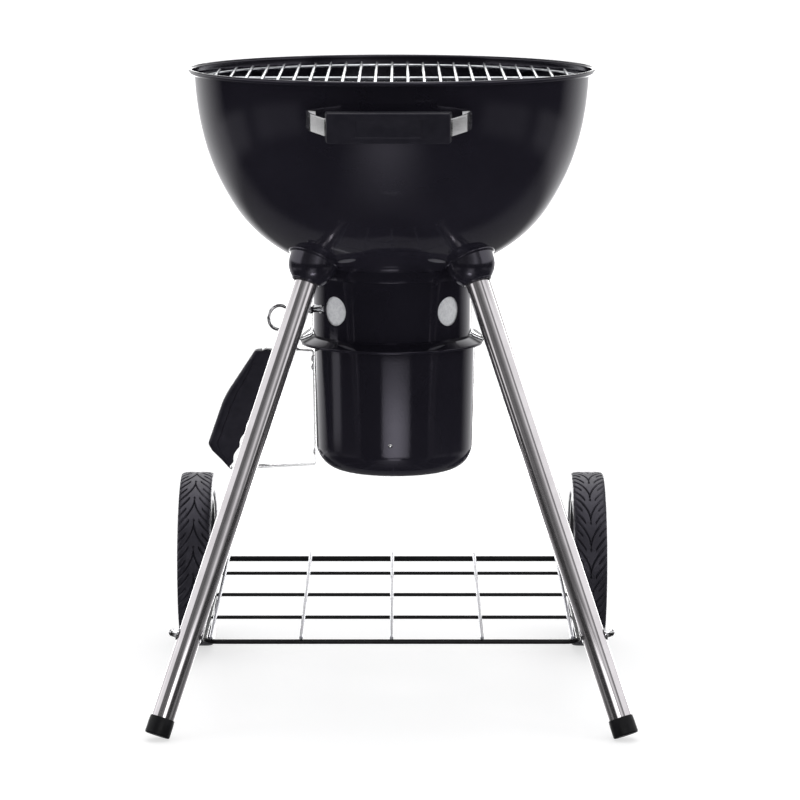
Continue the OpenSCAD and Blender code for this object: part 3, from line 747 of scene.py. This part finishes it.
def front_grip(face_y):
    """A moulded bar, wider at its back, with a sunk plain panel in its face."""
    height, depth, flare = 0.0405, 0.019, 0.003
    edge, corner, least_corner = 0.0016, 0.0022, 0.0006
    face, back = -depth / 2, depth / 2
    panel_w, panel_h = 0.087, 0.024
    # How far in from the panel's outline each loop is, how deep, and its corners' radius.
    panel = ((-0.0007, 0, 0.0026), (-0.0002, 0.0002, 0.002), (0.0001, 0.0007, 0.0018),
             (0.0006, 0.0009, 0.0014))

    def bar_loop(slant, start, bulge):
        inset = edge * (1 - cos(radians(slant)))
        y = start + bulge * sin(radians(slant))
        width = GRIP_W + 2 * flare * (y - face) / depth
        outline = rounded_rect(width - 2 * inset, height - 2 * inset,
                               max(corner - inset, least_corner))
        return [(x, y + face_y, z) for x, z in outline]

    loops = [bar_loop(slant, back - edge, edge) for slant in spaced(90, 0, 6)]
    loops += [bar_loop(slant, face + edge, -edge) for slant in spaced(0, 90, 6)]
    for inset, sunk, radius in panel:
        outline = rounded_rect(panel_w - 2 * inset, panel_h - 2 * inset, radius)
        loops.append([(x, face + sunk + face_y, z) for x, z in outline])
    piece("front_grip", [placed(loft(loops, caps=True), at_handle)], "grip_plastic",
          "handle_grip", sharp=50)


# ---- Vent housing ----


def radial_hole(angle, radius):
    """A cutter that goes out through the housing's wall at this angle."""
    inner, outer = 0.06, 0.14
    return placed(cylinder(radius, inner, outer, 0, 96), turn(angle, "Z") @ move(0, 0, VENT_Z)
                  @ turn(90, "Y"))


def slot_cutter(start, end):
    """A curved bar through the housing's wall, from start to end in degrees."""
    half_h, past = 0.004, 0.01
    inner, outer = HOUSING_R - past, HOUSING_R + past
    section = ((inner, -half_h), (outer, -half_h), (outer, half_h), (inner, half_h))
    loops = [[polar(r, a, VENT_Z + z) for r, z in section]
             for a in spaced(radians(start), radians(end), 40)]
    return loft(loops, caps=True)


def vent_housing():
    inner, slot_room = HOUSING_R - HOUSING_WALL, 3
    top_out, top_in = bowl_z(HOUSING_R) - GAP, bowl_z(inner) - GAP
    section = [(HOUSING_R, z) for z in spaced(HOUSING_Z, top_out, 12)]
    section += [(inner, top_in), (inner, HOUSING_Z)]
    shell = piece("housing_shell", [revolve(section, 256)], "enamel", "vent_housing")
    cutters = [radial_hole(VENT_ANGLE + 90 * i, VENT_R) for i in range(4)]
    cutters.append(slot_cutter(LEVER_ANGLE - DAMPER_TURN - slot_room, LEVER_ANGLE + slot_room))
    cut_away(shell, cutters)


def housing_trim():
    low = VENT_Z + 0.043
    inner, outer = HOUSING_R + GAP, HOUSING_R + 0.00185
    section = rounded([(inner, low), (outer, low), (outer, bowl_z(outer) - GAP),
                       (inner, bowl_z(inner) - GAP)], [0.0002, 0.0012, 0, 0])
    piece("collar_ring", [revolve(section, 256)], "enamel", "housing_collar")

    lip_r, lap_r = 0.131, HOUSING_R - 0.012
    z = HOUSING_Z
    flange = rounded(
        [(lap_r, z - 0.002), (HOUSING_R + 0.006, z - 0.002), (lip_r - 0.003, z - 0.005),
         (lip_r, z - 0.0048), (lip_r, z - 0.0014), (HOUSING_R + 0.003, z + 0.0065),
         (inner, z + 0.0095), (inner, z - GAP), (lap_r, z - GAP)],
        [0.0006, 0.004, 0.001, 0.0015, 0.0015, 0.009, 0.0002, 0, 0.0006])
    piece("flange_ring", [revolve(flange, 256)], "enamel", "housing_flange")

    clip_w, clip_t = 0.018, 0.0012
    path = rounded([(HOUSING_R + 0.0016, 0, z + 0.0165), (HOUSING_R + 0.0034, 0, z + 0.0125),
                    (HOUSING_R + 0.0178, 0, z + 0.0012), (HOUSING_R + 0.0166, 0, z - 0.0006)],
                   [0, 0.003, 0.0012, 0], False)
    clip = strip(path, clip_w, clip_t, (0, 1, 0))
    piece("spring_clips", [placed(clip, turn(angle, "Z")) for angle in (0, 180)], "strap_steel",
          "retaining_clips")


def damper():
    """The sleeve that closes the vents, and its lever with an eye, a collar and a nut."""
    low, high = HOUSING_Z + 0.001, HOUSING_Z + 0.085
    inner = SLEEVE_R - SLEEVE_WALL
    section = [(SLEEVE_R, z) for z in spaced(low, high, 8)] + [(inner, high), (inner, low)]
    sleeve = piece("damper_tube", [revolve(section, 256)], "sleeve_metal", "damper_sleeve",
                   "vent_damper")
    cut_away(sleeve, [radial_hole(VENT_ANGLE + DAMPER_TURN + 90 * i, VENT_R) for i in range(4)])

    at_lever = turn(LEVER_ANGLE, "Z") @ move(0, 0, VENT_Z)
    eye_wire, eye_sweep = 0.0022, 352
    rod_end = EYE_DISTANCE - sqrt(EYE_R ** 2 - EYE_DROP ** 2)
    start = degrees(atan2(EYE_DROP, rod_end - EYE_DISTANCE))
    loop = arc((EYE_DISTANCE, -EYE_DROP), EYE_R, start, start - eye_sweep, 72)
    parts = [rod((SLEEVE_R + GAP, 0, 0), (rod_end + 0.001, 0, 0), LEVER_R),
             wire([(x, 0, z) for x, z in loop], eye_wire, (0, 1, 0))]
    piece("damper_handle", [placed(p, at_lever) for p in parts], "fastener", "damper_lever",
          "vent_damper")

    bore = LEVER_R + GAP
    washer, collar, nut, end = (HOUSING_R + k for k in (0.0006, 0.0026, 0.0156, 0.0201))
    fittings = [pipe(bore, 0.0062, washer, collar, 0.0006, 48),
                pipe(bore, 0.0036, collar, nut, 0.0005, 48), hexagon(0.0054, bore, nut, end)]
    piece("handle_fittings", [placed(p, at_lever @ turn(90, "Y")) for p in fittings], "fastener",
          "lever_fittings", "vent_damper")


# ---- Ash bucket ----

bucket_side = BUCKET_X - BUCKET_R - GAP


def bucket_section(inset):
    """The bucket's outside, or its inside at this distance from it, from the rim down."""
    low_r = BUCKET_R - BUCKET_DRAFT - inset
    corner = BUCKET_CORNER - inset
    base = BUCKET_FLOOR + inset
    wall = [(BUCKET_R - inset - BUCKET_DRAFT * t, BUCKET_TOP - (BUCKET_TOP - base - corner) * t)
            for t in spaced(0.01, 1, 10)]
    return wall[:-1] + arc((low_r - corner, base + corner), corner, 0, -90, 20) + [(0, base)]


def ash_bucket():
    edge = 0.0004
    rim = [(BUCKET_R - BUCKET_WALL, BUCKET_TOP - edge), (BUCKET_R - BUCKET_WALL / 2, BUCKET_TOP),
           (BUCKET_R - 0.0001, BUCKET_TOP - edge)]
    section = list(reversed(bucket_section(BUCKET_WALL))) + rim + bucket_section(0)
    can = placed(revolve(section, 256, closed=False), move(BUCKET_X, 0, 0))
    piece("bucket_can", [can], "enamel", "ash_bucket", "ash_catcher", look="can_enamel")


def bucket_handle():
    """The strap loop on the bucket's side, the rivets that hold it, and its grip."""
    width, t = 0.020, 0.002
    top, low = 0.488, 0.325
    side_x = bucket_side - t / 2 - 0.0001
    corners = [(side_x, 0, top), (-0.182, 0, 0.491), (-0.233, 0, 0.318),
               (side_x + BUCKET_DRAFT, 0, low)]
    path = rounded(corners, [0.003, 0.004, 0.004, 0.004], True, 8)
    piece("bucket_loop", [strip(path, width, t, (0, 1, 0), closed=True)], "strap_steel",
          "bucket_strap", "ash_catcher")

    rivets = []
    for z in (0.476, 0.464, 0.342):
        x = side_x - t / 2 - 0.0001 + BUCKET_DRAFT * (top - z) / (top - low)
        rivets.append(placed(dome(0.0045, 0.0026, 0.0004), move(x, 0, z) @ turn(-90, "Y")))
    front = move(BUCKET_X - 0.006, -BUCKET_R + 0.0022, 0.369)
    rivets.append(placed(dome(0.003, 0.0016), front @ turn(90, "X")))
    piece("bucket_rivet_heads", rivets, "fastener", "bucket_rivets", "ash_catcher")
    bucket_grip()


def point_along(path, t):
    """The point at a share t of a 2D path's length."""
    lengths = [0.0]
    for a, b in zip(path, path[1:]):
        lengths.append(lengths[-1] + (b - a).length)
    goal = t * lengths[-1]
    return Vector((np.interp(goal, lengths, [p.x for p in path]),
                   np.interp(goal, lengths, [p.y for p in path])))


def grip_section(width, depth, groove):
    """A bar with softly rounded outer edges, crisp inner ones and a line on each face."""
    line_share, line_w, line_depth = 0.30, 0.0007, 0.0006
    u, v = width / 2, depth / 2
    soft, crisp = min(0.0075, width * 0.4), min(0.0022, width * 0.2)
    corners = rounded([(u, v), (-u, v), (-u, -v), (u, -v)], [soft, crisp, crisp, soft])
    quarter = len(corners) // 4
    line = u - max(line_share * width, soft + 2 * line_w)
    cut = [(line + line_w, v), (line, v - line_depth * groove), (line - line_w, v)]
    mirrored = [(a, -b) for a, b in reversed(cut)]
    return (list(corners[:quarter]) + cut + list(corners[quarter:3 * quarter]) + mirrored
            + list(corners[3 * quarter:]))


def bucket_grip():
    """A moulded grip along the strap. Five finger hollows meet in cusps on the bucket's side."""
    outer = rounded([(-0.194, 0.489), (-0.2385, 0.4215), (-0.262, 0.354), (-0.256, 0.344),
                     (-0.232, 0.3205)], [0, 0.12, 0.008, 0.004, 0], False, 8)
    inner = rounded([(-0.170, 0.489), (-0.185, 0.426), (-0.226, 0.328), (-0.232, 0.3205)],
                    [0, 0.03, 0.004, 0], False, 6)
    stations, depth, least_w = 150, 0.026, 0.003
    hollows, hollow_start, hollow_end, hollow_depth = 5, 0.295, 0.94, 0.0034
    length, end_l, end_share = 0.19, 0.003, 0.8
    groove_start, groove_end, groove_fade = 0.1, 0.92, 0.02
    loops = []
    for i in range(stations + 1):
        t = i / stations
        out_point, in_point = point_along(outer, t), point_along(inner, t)
        across = (out_point - in_point).normalized()
        place = (t - hollow_start) / (hollow_end - hollow_start) * hollows
        if 0 < place < hollows:
            in_point += across * hollow_depth * abs(sin(pi * place))
        span = (out_point - in_point).length
        centre = (out_point + in_point) / 2
        close = min(t, 1 - t) * length
        squeeze = 1
        if close <= end_l:
            round_off = sqrt(1 - (1 - close / end_l) ** 2)
            squeeze = round_off * (1 - end_share) + end_share
        groove = min(max((min(t - groove_start, groove_end - t)) / groove_fade, 0), 1)
        outline = grip_section(max(span * squeeze, least_w), depth * squeeze, groove)
        loops.append([(centre.x + across.x * u, v, centre.y + across.y * u) for u, v in outline])
    piece("bucket_grip_body", [loft(loops, caps=True)], "grip_plastic", "bucket_grip",
          "ash_catcher", sharp=35)


# ---- Wire shelf ----

shelf_rise = degrees(asin((WHEEL_R + AXLE_R + GAP - SHELF_Z - FRAME_WIRE_R)
                          / (shelf_front + AXLE_X)))
at_shelf = move(0, -shelf_front, SHELF_Z) @ turn(shelf_rise, "X")


def shelf():
    half_w = 0.255
    side_l = shelf_front + 0.238
    path = rounded([(-half_w, side_l, 0), (-half_w, 0, 0), (half_w, 0, 0), (half_w, side_l, 0)],
                   [0, 0.018, 0.018, 0], False, 10)
    piece("shelf_rail", [placed(wire(path, FRAME_WIRE_R, (0, 0, 1), 24), at_shelf)], "black_wire",
          "shelf_frame")

    reach = half_w - FRAME_WIRE_R - GAP
    up = FRAME_WIRE_R - SHELF_WIRE_R
    crossing = [rod((-reach, y, up), (reach, y, up), SHELF_WIRE_R)
                for y in (CROSS_PITCH * i for i in (1, 2, 3))]
    piece("shelf_cross_rods", [placed(p, at_shelf) for p in crossing], "black_wire",
          "shelf_cross_wires")

    length = shelf_front + AXLE_X + AXLE_R + SHELF_WIRE_R + GAP
    top = FRAME_WIRE_R + SHELF_WIRE_R + GAP
    hook_l, hook_bend = 0.012, 0.004
    parts = []
    for x in (i * LONG_PITCH for i in range(-2, 3)):
        line = rounded([(x, -FRAME_WIRE_R, top), (x, length, top), (x, length, top - hook_l)],
                       [0, hook_bend, 0], False, 6)
        parts.append(placed(wire(line, SHELF_WIRE_R, (1, 0, 0)), at_shelf))
    piece("shelf_long_rods", parts, "zinc_wire", "shelf_long_wires")


def stud_place(side):
    """Local +Z runs outwards along the stud through a front leg."""
    stud_z = 0.1324
    stud_turn = degrees(atan2(1, -cos(front_lean)))
    return (along_leg(True, side) @ move(0, 0, stud_z / cos(front_lean))
            @ turn(-side * stud_turn, "Z") @ turn(90, "Y"))


def shelf_fixings():
    """Studs through the front legs, each with a washer and a dome nut."""
    stud_r, stud_in, stud_out = 0.003, -0.0164, 0.027
    bore, washer_r, nut_r = 0.00305, 0.008, 0.0064
    dome_r, dome_h = 0.0054, 0.0062
    base = LEG_R + GAP
    washer_low, nut_low, nut_top = base - 0.0006, base + 0.0015, base + 0.0075
    crown = [(dome_r * cos(a), nut_top + dome_h * sin(a)) for a in spaced(0, pi / 2, 9)]
    sunk = nut_top - 0.0015
    nut = [pipe(bore, washer_r, washer_low, nut_low, 0.0004, 48),
           hexagon(nut_r, bore, nut_low, nut_top),
           revolve([(0, sunk), (dome_r, sunk)] + crown, 40, False)]
    stud = cylinder(stud_r, stud_in, stud_out)
    studs = [placed(stud, stud_place(side)) for side in (-1, 1)]
    nuts = [placed(part, stud_place(side)) for side in (-1, 1) for part in nut]
    piece("stud_pair", studs, "fastener", "shelf_studs")
    piece("dome_nut_pair", nuts, "fastener", "dome_nuts")


# ---- Axle and wheels ----


def at_wheel(side):
    """Local +Z runs outwards along the axle from the tyre's inner face."""
    return move(side * (WHEEL_X - TYRE_W), AXLE_X, WHEEL_R) @ turn(side * 90, "Y")


def axle():
    """The axle with a spacer inside each wheel and a cap outside it."""
    half = WHEEL_X - 0.001
    piece("axle_bar", [rod((-half, AXLE_X, WHEEL_R), (half, AXLE_X, WHEEL_R), AXLE_R, 32)],
          "black_wire", "axle")
    bore, spacer_r, cap_r, cap_end_r, cap_h = AXLE_R + GAP, 0.008, 0.009, 0.0058, 0.0085
    inner_x, hub_x = AXLE_X + 0.0205, WHEEL_X - TYRE_W + 0.0255
    cap_x = WHEEL_X - TYRE_W + 0.0445
    spacer = pipe(bore, spacer_r, inner_x, hub_x, 0.0006, 64)
    cap = revolve(rounded([(bore, cap_x), (cap_r, cap_x), (cap_r, cap_x + 0.004),
                           (cap_end_r, cap_x + cap_h), (bore, cap_x + cap_h)],
                          [0.0003, 0.0008, 0.002, 0.0012, 0.0003]), 64)
    outwards = [move(0, AXLE_X, WHEEL_R) @ turn(side * 90, "Y") for side in (-1, 1)]
    piece("axle_sleeves", [placed(spacer, place) for place in outwards], "fastener",
          "axle_spacers")
    piece("axle_end_caps", [placed(cap, place) for place in outwards], "fastener", "axle_caps")


def groove_depth(u, v):
    """Depth of the tread's grooves, from 0 to 1, at distance u round and v across the tyre.

    Each pitch has a pair that sweeps from the middle to both shoulders, and two shorter
    pairs beside it that stop part of the way in. A dimple marks each long pair's start.
    """
    pitch = TAU * WHEEL_R / TREAD_PITCHES
    half_w = TYRE_W / 2
    sweep_l, least_v = 0.047, 0.0006
    dimple_ahead, dimple_r = 0.0022, 0.0008
    margin, fade_w = 0.0012, 0.0015
    # Each pair's place in the pitch, how far from the middle it stops, and its width.
    pairs = ((0, 0.0, 0.0026), (1 / 3, 0.0123, 0.0025), (2 / 3, 0.0075, 0.0025))

    def from_nearest(distance):
        return (distance + pitch / 2) % pitch - pitch / 2

    from_middle = np.abs(v)
    line = sweep_l * np.sqrt(from_middle / half_w)
    slope = 0.5 * sweep_l / np.sqrt(half_w * np.maximum(from_middle, least_v))
    depth = np.zeros_like(u)
    for share, stop, width in pairs:
        distance = np.abs(from_nearest(u + share * pitch - line)) / np.sqrt(1 + slope ** 2)
        distance = np.hypot(distance, 2 * np.maximum(stop - from_middle, 0))
        narrow = width * (0.62 + 0.38 * np.minimum(from_middle / 0.012, 1))
        depth = np.maximum(depth, np.clip(1.5 - distance / narrow * 2.4, 0, 1))
    dimple = np.hypot(from_nearest(u + dimple_ahead), v)
    depth = np.maximum(depth, np.clip(2.2 - dimple / dimple_r, 0, 1))
    return depth * np.clip((half_w - margin - from_middle) / fade_w, 0, 1)


def tyre_section():
    """(radius, distance across) round a squarish tyre, the crown first and finely cut."""
    half_w, half_h = TYRE_W / 2, TYRE_DEPTH / 2
    middle_r = WHEEL_R - half_h
    squareness, crown_half_w = 6, 0.0236
    ridge_h, ridge_w, ridge_places = 0.0005, 0.0008, (-0.009, 0.004)
    section = [(middle_r + half_h * (1 - (abs(v) / half_w) ** squareness) ** (1 / squareness), v)
               for v in spaced(-crown_half_w, crown_half_w, 77)]
    edge = degrees(acos((1 - (crown_half_w / half_w) ** squareness) ** 0.5))
    for a in spaced(edge, 360 - edge, 46)[1:-1]:
        c, s = cos(radians(a)), sin(radians(a))
        r = middle_r + half_h * copysign(abs(c) ** (2 / squareness), c)
        v = half_w * copysign(abs(s) ** (2 / squareness), s)
        ridge = ridge_h * sum(exp(-((r - middle_r - x) / ridge_w) ** 2) for x in ridge_places)
        section.append((r, v + copysign(ridge, v) - copysign(ridge_h, v)))
    return np.array(section)


def tyre(side, hand):
    """A ring with its tread cut in real grooves, which point the same way on both sides."""
    steps = 900
    section = tyre_section()
    across, bare_r = section[:, 1], section[:, 0]
    angles = TAU * np.arange(steps) / steps
    u = np.repeat(angles[:, None] * WHEEL_R, len(section), 1) * side
    v = np.repeat(across[None, :], steps, 0)
    on_crown = bare_r > WHEEL_R - TYRE_DEPTH / 2
    radius = bare_r - TREAD_DEPTH * groove_depth(u, v) * on_crown
    x = side * (WHEEL_X - TYRE_W / 2) + v * side
    y = AXLE_X - radius * np.cos(angles)[:, None]
    z = WHEEL_R + radius * np.sin(angles)[:, None]
    part = loft([[Vector(p) for p in loop] for loop in np.stack([x, y, z], 2)], wrap=True)
    piece(f"{hand}_tyre", [part], "tyre_rubber", f"tyre_{hand}", f"{hand}_wheel", sharp=40)


def wheel(side, hand):
    """A dished disc with a hub, a rim under the tyre and round holes."""
    outer = WHEEL_R - TYRE_DEPTH - GAP
    rim_in, hub_r, bore = outer - 0.012, 0.019, AXLE_R + 0.00007
    low, high, web_low, web_top, hub_low, hub_top = 0.003, 0.047, 0.027, 0.033, 0.026, 0.044
    section = rounded(
        [(bore, hub_low), (hub_r, hub_low), (hub_r + 0.001, web_low), (rim_in, web_low),
         (rim_in + 0.002, low), (outer, low), (outer, high), (rim_in + 0.002, high),
         (rim_in, web_top), (hub_r + 0.003, web_top), (hub_r - 0.001, hub_top), (bore, hub_top)],
        [0.0006, 0.0003, 0.0003, 0.004, 0.0012, 0.0008, 0.0008, 0.0012, 0.004, 0.003, 0.0015,
         0.0006])
    disc = piece(f"{hand}_wheel_disc", [placed(revolve(section, 192), at_wheel(side))],
                 "wheel_plastic", f"wheel_{hand}", f"{hand}_wheel")
    hole_r, hole_low, hole_high, count = 0.019, 0.02, 0.04, 6
    hole_at = (rim_in + hub_r) / 2 + 0.001
    hole = cylinder(hole_r, hole_low, hole_high, 0, 64)
    cut_away(disc, [placed(hole, at_wheel(side) @ turn(360 / count * i, "Z") @ move(hole_at, 0, 0))
                    for i in range(count)])


def wheels():
    for side, hand in SIDES:
        tyre(side, hand)
        wheel(side, hand)


# ---- Grates ----


def bars(radius, wire_r, pitch, count, z):
    """Parallel rods from front to back that end on a circle."""
    parts = []
    for x in ((i - (count - 1) / 2) * pitch for i in range(count)):
        half = sqrt(radius ** 2 - x ** 2)
        parts.append(rod((x, -half, z), (x, half, z), wire_r, 16))
    return parts


def grates():
    rod_r, gap, past = 0.002, GAP, 0.002
    cross = GRATE_R - 0.0005
    rim = [ring_wire(GRATE_R, GRATE_WIRE_R, GRATE_Z, 256),
           rod((-cross, 0, GRATE_Z), (cross, 0, GRATE_Z), GRATE_WIRE_R)]
    rods = bars(GRATE_R + past, rod_r, 0.02245, 23, GRATE_Z + GRATE_WIRE_R + rod_r + gap)
    piece("grate_rim", rim, "grate_rod", "cooking_grate_ring", "cooking_grate")
    piece("grate_bars", rods, "grate_rod", "cooking_grate_rods", "cooking_grate")

    inner_share = 0.45
    rings = [ring_wire(COAL_R, COAL_WIRE_R, COAL_Z, 192),
             ring_wire(COAL_R * inner_share, COAL_WIRE_R, COAL_Z, 128)]
    rods = bars(COAL_R, COAL_WIRE_R, 0.025, 17, COAL_Z + 2 * COAL_WIRE_R + gap)
    piece("coal_rings", rings, "grate_rod", "charcoal_grate_rings", "charcoal_grate")
    piece("coal_bars", rods, "grate_rod", "charcoal_grate_rods", "charcoal_grate")


# ---- Camera, light and floor ----


def camera():
    data = bpy.data.cameras.new("camera")
    data.lens = LENS
    data.sensor_width = 36
    data.clip_end = 100
    view = add_object("camera", data)
    view.location = (CAMERA_X, axis_place.y - CAMERA_AWAY, CAMERA_Z)
    view.rotation_euler = (radians(90 - CAMERA_DOWN), 0, 0)
    bpy.context.scene.camera = view


def studio_world():
    """A white studio, as its glossy parts and its shade see it. The camera sees plain white.

    Above eye level are white walls with grey stripes round the front, and a dark ceiling with
    a bright middle. Below it are a lit wall behind, stripes at the sides and a card in front.
    """
    world = bpy.data.worlds.new("studio")
    world.use_nodes = True
    bpy.context.scene.world = world
    world.node_tree.nodes.clear()
    graph = Graph(world.node_tree)
    fade, until, maths = graph.fade, graph.until, graph.maths
    product, total = graph.product, graph.total

    # The ray's direction: z is its rise, back its share towards +Y, and turned its angle
    # round the axis in turns, which is 0 straight in front.
    place = graph.node("ShaderNodeTexCoord").outputs["Generated"]
    x, y, z = graph.node("ShaderNodeSeparateXYZ", Vector=place).outputs
    back = maths("DIVIDE", y, maths("SQRT", total(product(x, x), product(y, y))))
    turned = product(maths("ARCTAN2", x, product(y, -1.0)), 1 / TAU)

    # Walls above eye level, as (degrees from straight ahead, light).
    white = 1.4
    stops = [(-180, 1.4), (-61, 1.4), (-54, 0.15), (-37, 0.17), (-25, 0.11), (-12, 0.2), (3, 0.4),
             (13, 0.66), (21, 1.15), (29, 0.95), (38, 0.38), (50, 0.2), (57, 1.4), (180, 1.4)]
    wall = graph.node("ShaderNodeValToRGB", Fac=total(turned, 0.5))
    marks = wall.color_ramp.elements
    while len(marks) < len(stops):
        marks.new(0.5)
    for mark, (angle, light) in zip(marks, stops):
        mark.position = 0.5 + angle / 360
        mark.color = (light / white, light / white, light / white, 1)
    horizon = 0.0, 0.12
    dark_ceiling, overhead, slope = 0.07, 2.0, 0.35
    ceiling = fade(total(z, product(back, slope)), 0.55, 0.66, 1.0, dark_ceiling)
    top = fade(z, 0.80, 0.90)
    high_back = product(fade(back, 0.86, 0.95), fade(z, 0.30, 0.40), maths("SUBTRACT", 1.0, top))
    upper = total(product(wall.outputs["Color"], white, fade(z, *horizon), ceiling),
                  product(total(top, high_back), overhead))

    # The wall behind is brightest in its middle and along a low edge.
    rear_wall, rear_edge, rear_floor = 1.8, 5.0, 0.2
    rear = total(product(fade(back, 0.40, 0.92, 0.0, rear_wall, "LINEAR"), fade(z, -0.50, -0.30)),
                 product(fade(back, 0.89, 0.94, 0.0, rear_edge), fade(z, -0.34, -0.24)),
                 product(fade(back, 0.3, 0.6, 0.0, rear_floor), until(z, -0.45, -0.30)))

    # Stripes at both sides, which the legs show: (start, full, fading, end in degrees, light).
    side = product(maths("ABSOLUTE", turned), 360)
    stripes = [product(fade(side, start, full), until(side, fading, end), light)
               for start, full, fading, end, light in ((50, 60, 80, 96, 0.22),
                                                       (90, 102, 114, 134, 0.28))]
    stripes = product(total(*stripes), fade(z, -0.44, -0.34), until(z, -0.26, -0.20))
    lower = product(total(rear, stripes), until(z, *horizon))

    # A card held low in front: a soft glow on everything which leans over it.
    card_light, card_x, card_w = 0.8, -0.05, 0.48
    ahead = maths("ABSOLUTE", maths("SUBTRACT", x, card_x))
    glow = product(fade(ahead, 0.0, card_w, card_light, 0.0),
                   fade(z, -0.98, -0.56, 0.0, 1.0, "LINEAR"), until(z, -0.50, -0.42),
                   until(y, -0.1, 0.1))
    dim = 0.012

    around = graph.node("ShaderNodeBackground", Strength=total(upper, lower, glow, dim))
    seen = graph.node("ShaderNodeBackground", Strength=1.0, Color=(1, 1, 1, 1))
    mix = graph.node("ShaderNodeMixShader",
                     Fac=graph.node("ShaderNodeLightPath").outputs["Is Camera Ray"])
    graph.feed(around.outputs[0], mix.inputs[1])
    graph.feed(seen.outputs[0], mix.inputs[2])
    graph.node("ShaderNodeOutputWorld", Surface=mix.outputs[0])


def card(place, target, width, height, spread, watts):
    """A small soft light that shows only in glossy surfaces. spread is in degrees."""
    data = bpy.data.lights.new("card", "AREA")
    data.shape = "RECTANGLE"
    data.size, data.size_y = width, height
    data.energy = watts
    data.spread = radians(spread)
    lamp = add_object("card", data)
    lamp.location = place
    lamp.rotation_euler = (Vector(target) - Vector(place)).to_track_quat("-Z", "Y").to_euler()
    lamp.visible_camera = False
    lamp.visible_diffuse = False


def lights():
    """Three nested cards in front, one at the left and one that leans in to the sockets."""
    x, low, width, spread = 0.04, 0.05, 0.66, 60
    for away, height, watts in ((1.0, 0.315, 0.066), (1.004, 0.24, 0.068), (1.008, 0.195, 0.070)):
        middle = low + height / 2
        card((x, -away, middle), (x, 0, middle), width, height, spread, watts)
    card((-1.1, -0.05, 0.265), (0, -0.05, 0.265), 0.3, 0.22, 50, 0.018)
    card((-0.04, -0.66, 0.12), (-0.04, -0.15, 0.52), 0.3, 0.1, 36, 0.02)


def floor():
    """A pale floor that glows a little, so that its shadows stay soft."""
    half = 40
    corners = [(-half, -half, 0), (half, -half, 0), (half, half, 0), (-half, half, 0)]
    mesh = bpy.data.meshes.new("floor")
    mesh.from_pydata(corners, [], [(0, 1, 2, 3)])
    look = Look("floor", Roughness=0.9, Base_Color=(0.50, 0.50, 0.505, 1), Specular_IOR_Level=0.0,
                Emission_Color=(1, 1, 1, 1), Emission_Strength=0.66)
    mesh.materials.append(look.material)
    plane = add_object("floor", mesh)
    plane.visible_glossy = False


camera()
studio_world()
lights()
floor()
make_looks()
dress_cad_nodes()
bowl()
brackets()
legs()
foot_caps()
leg_plugs()
socket_bolts()
front_handle()
vent_housing()
housing_trim()
damper()
ash_bucket()
bucket_handle()
shelf()
shelf_fixings()
axle()
wheels()
grates()

bpy.context.scene.view_settings.view_transform = "Standard"
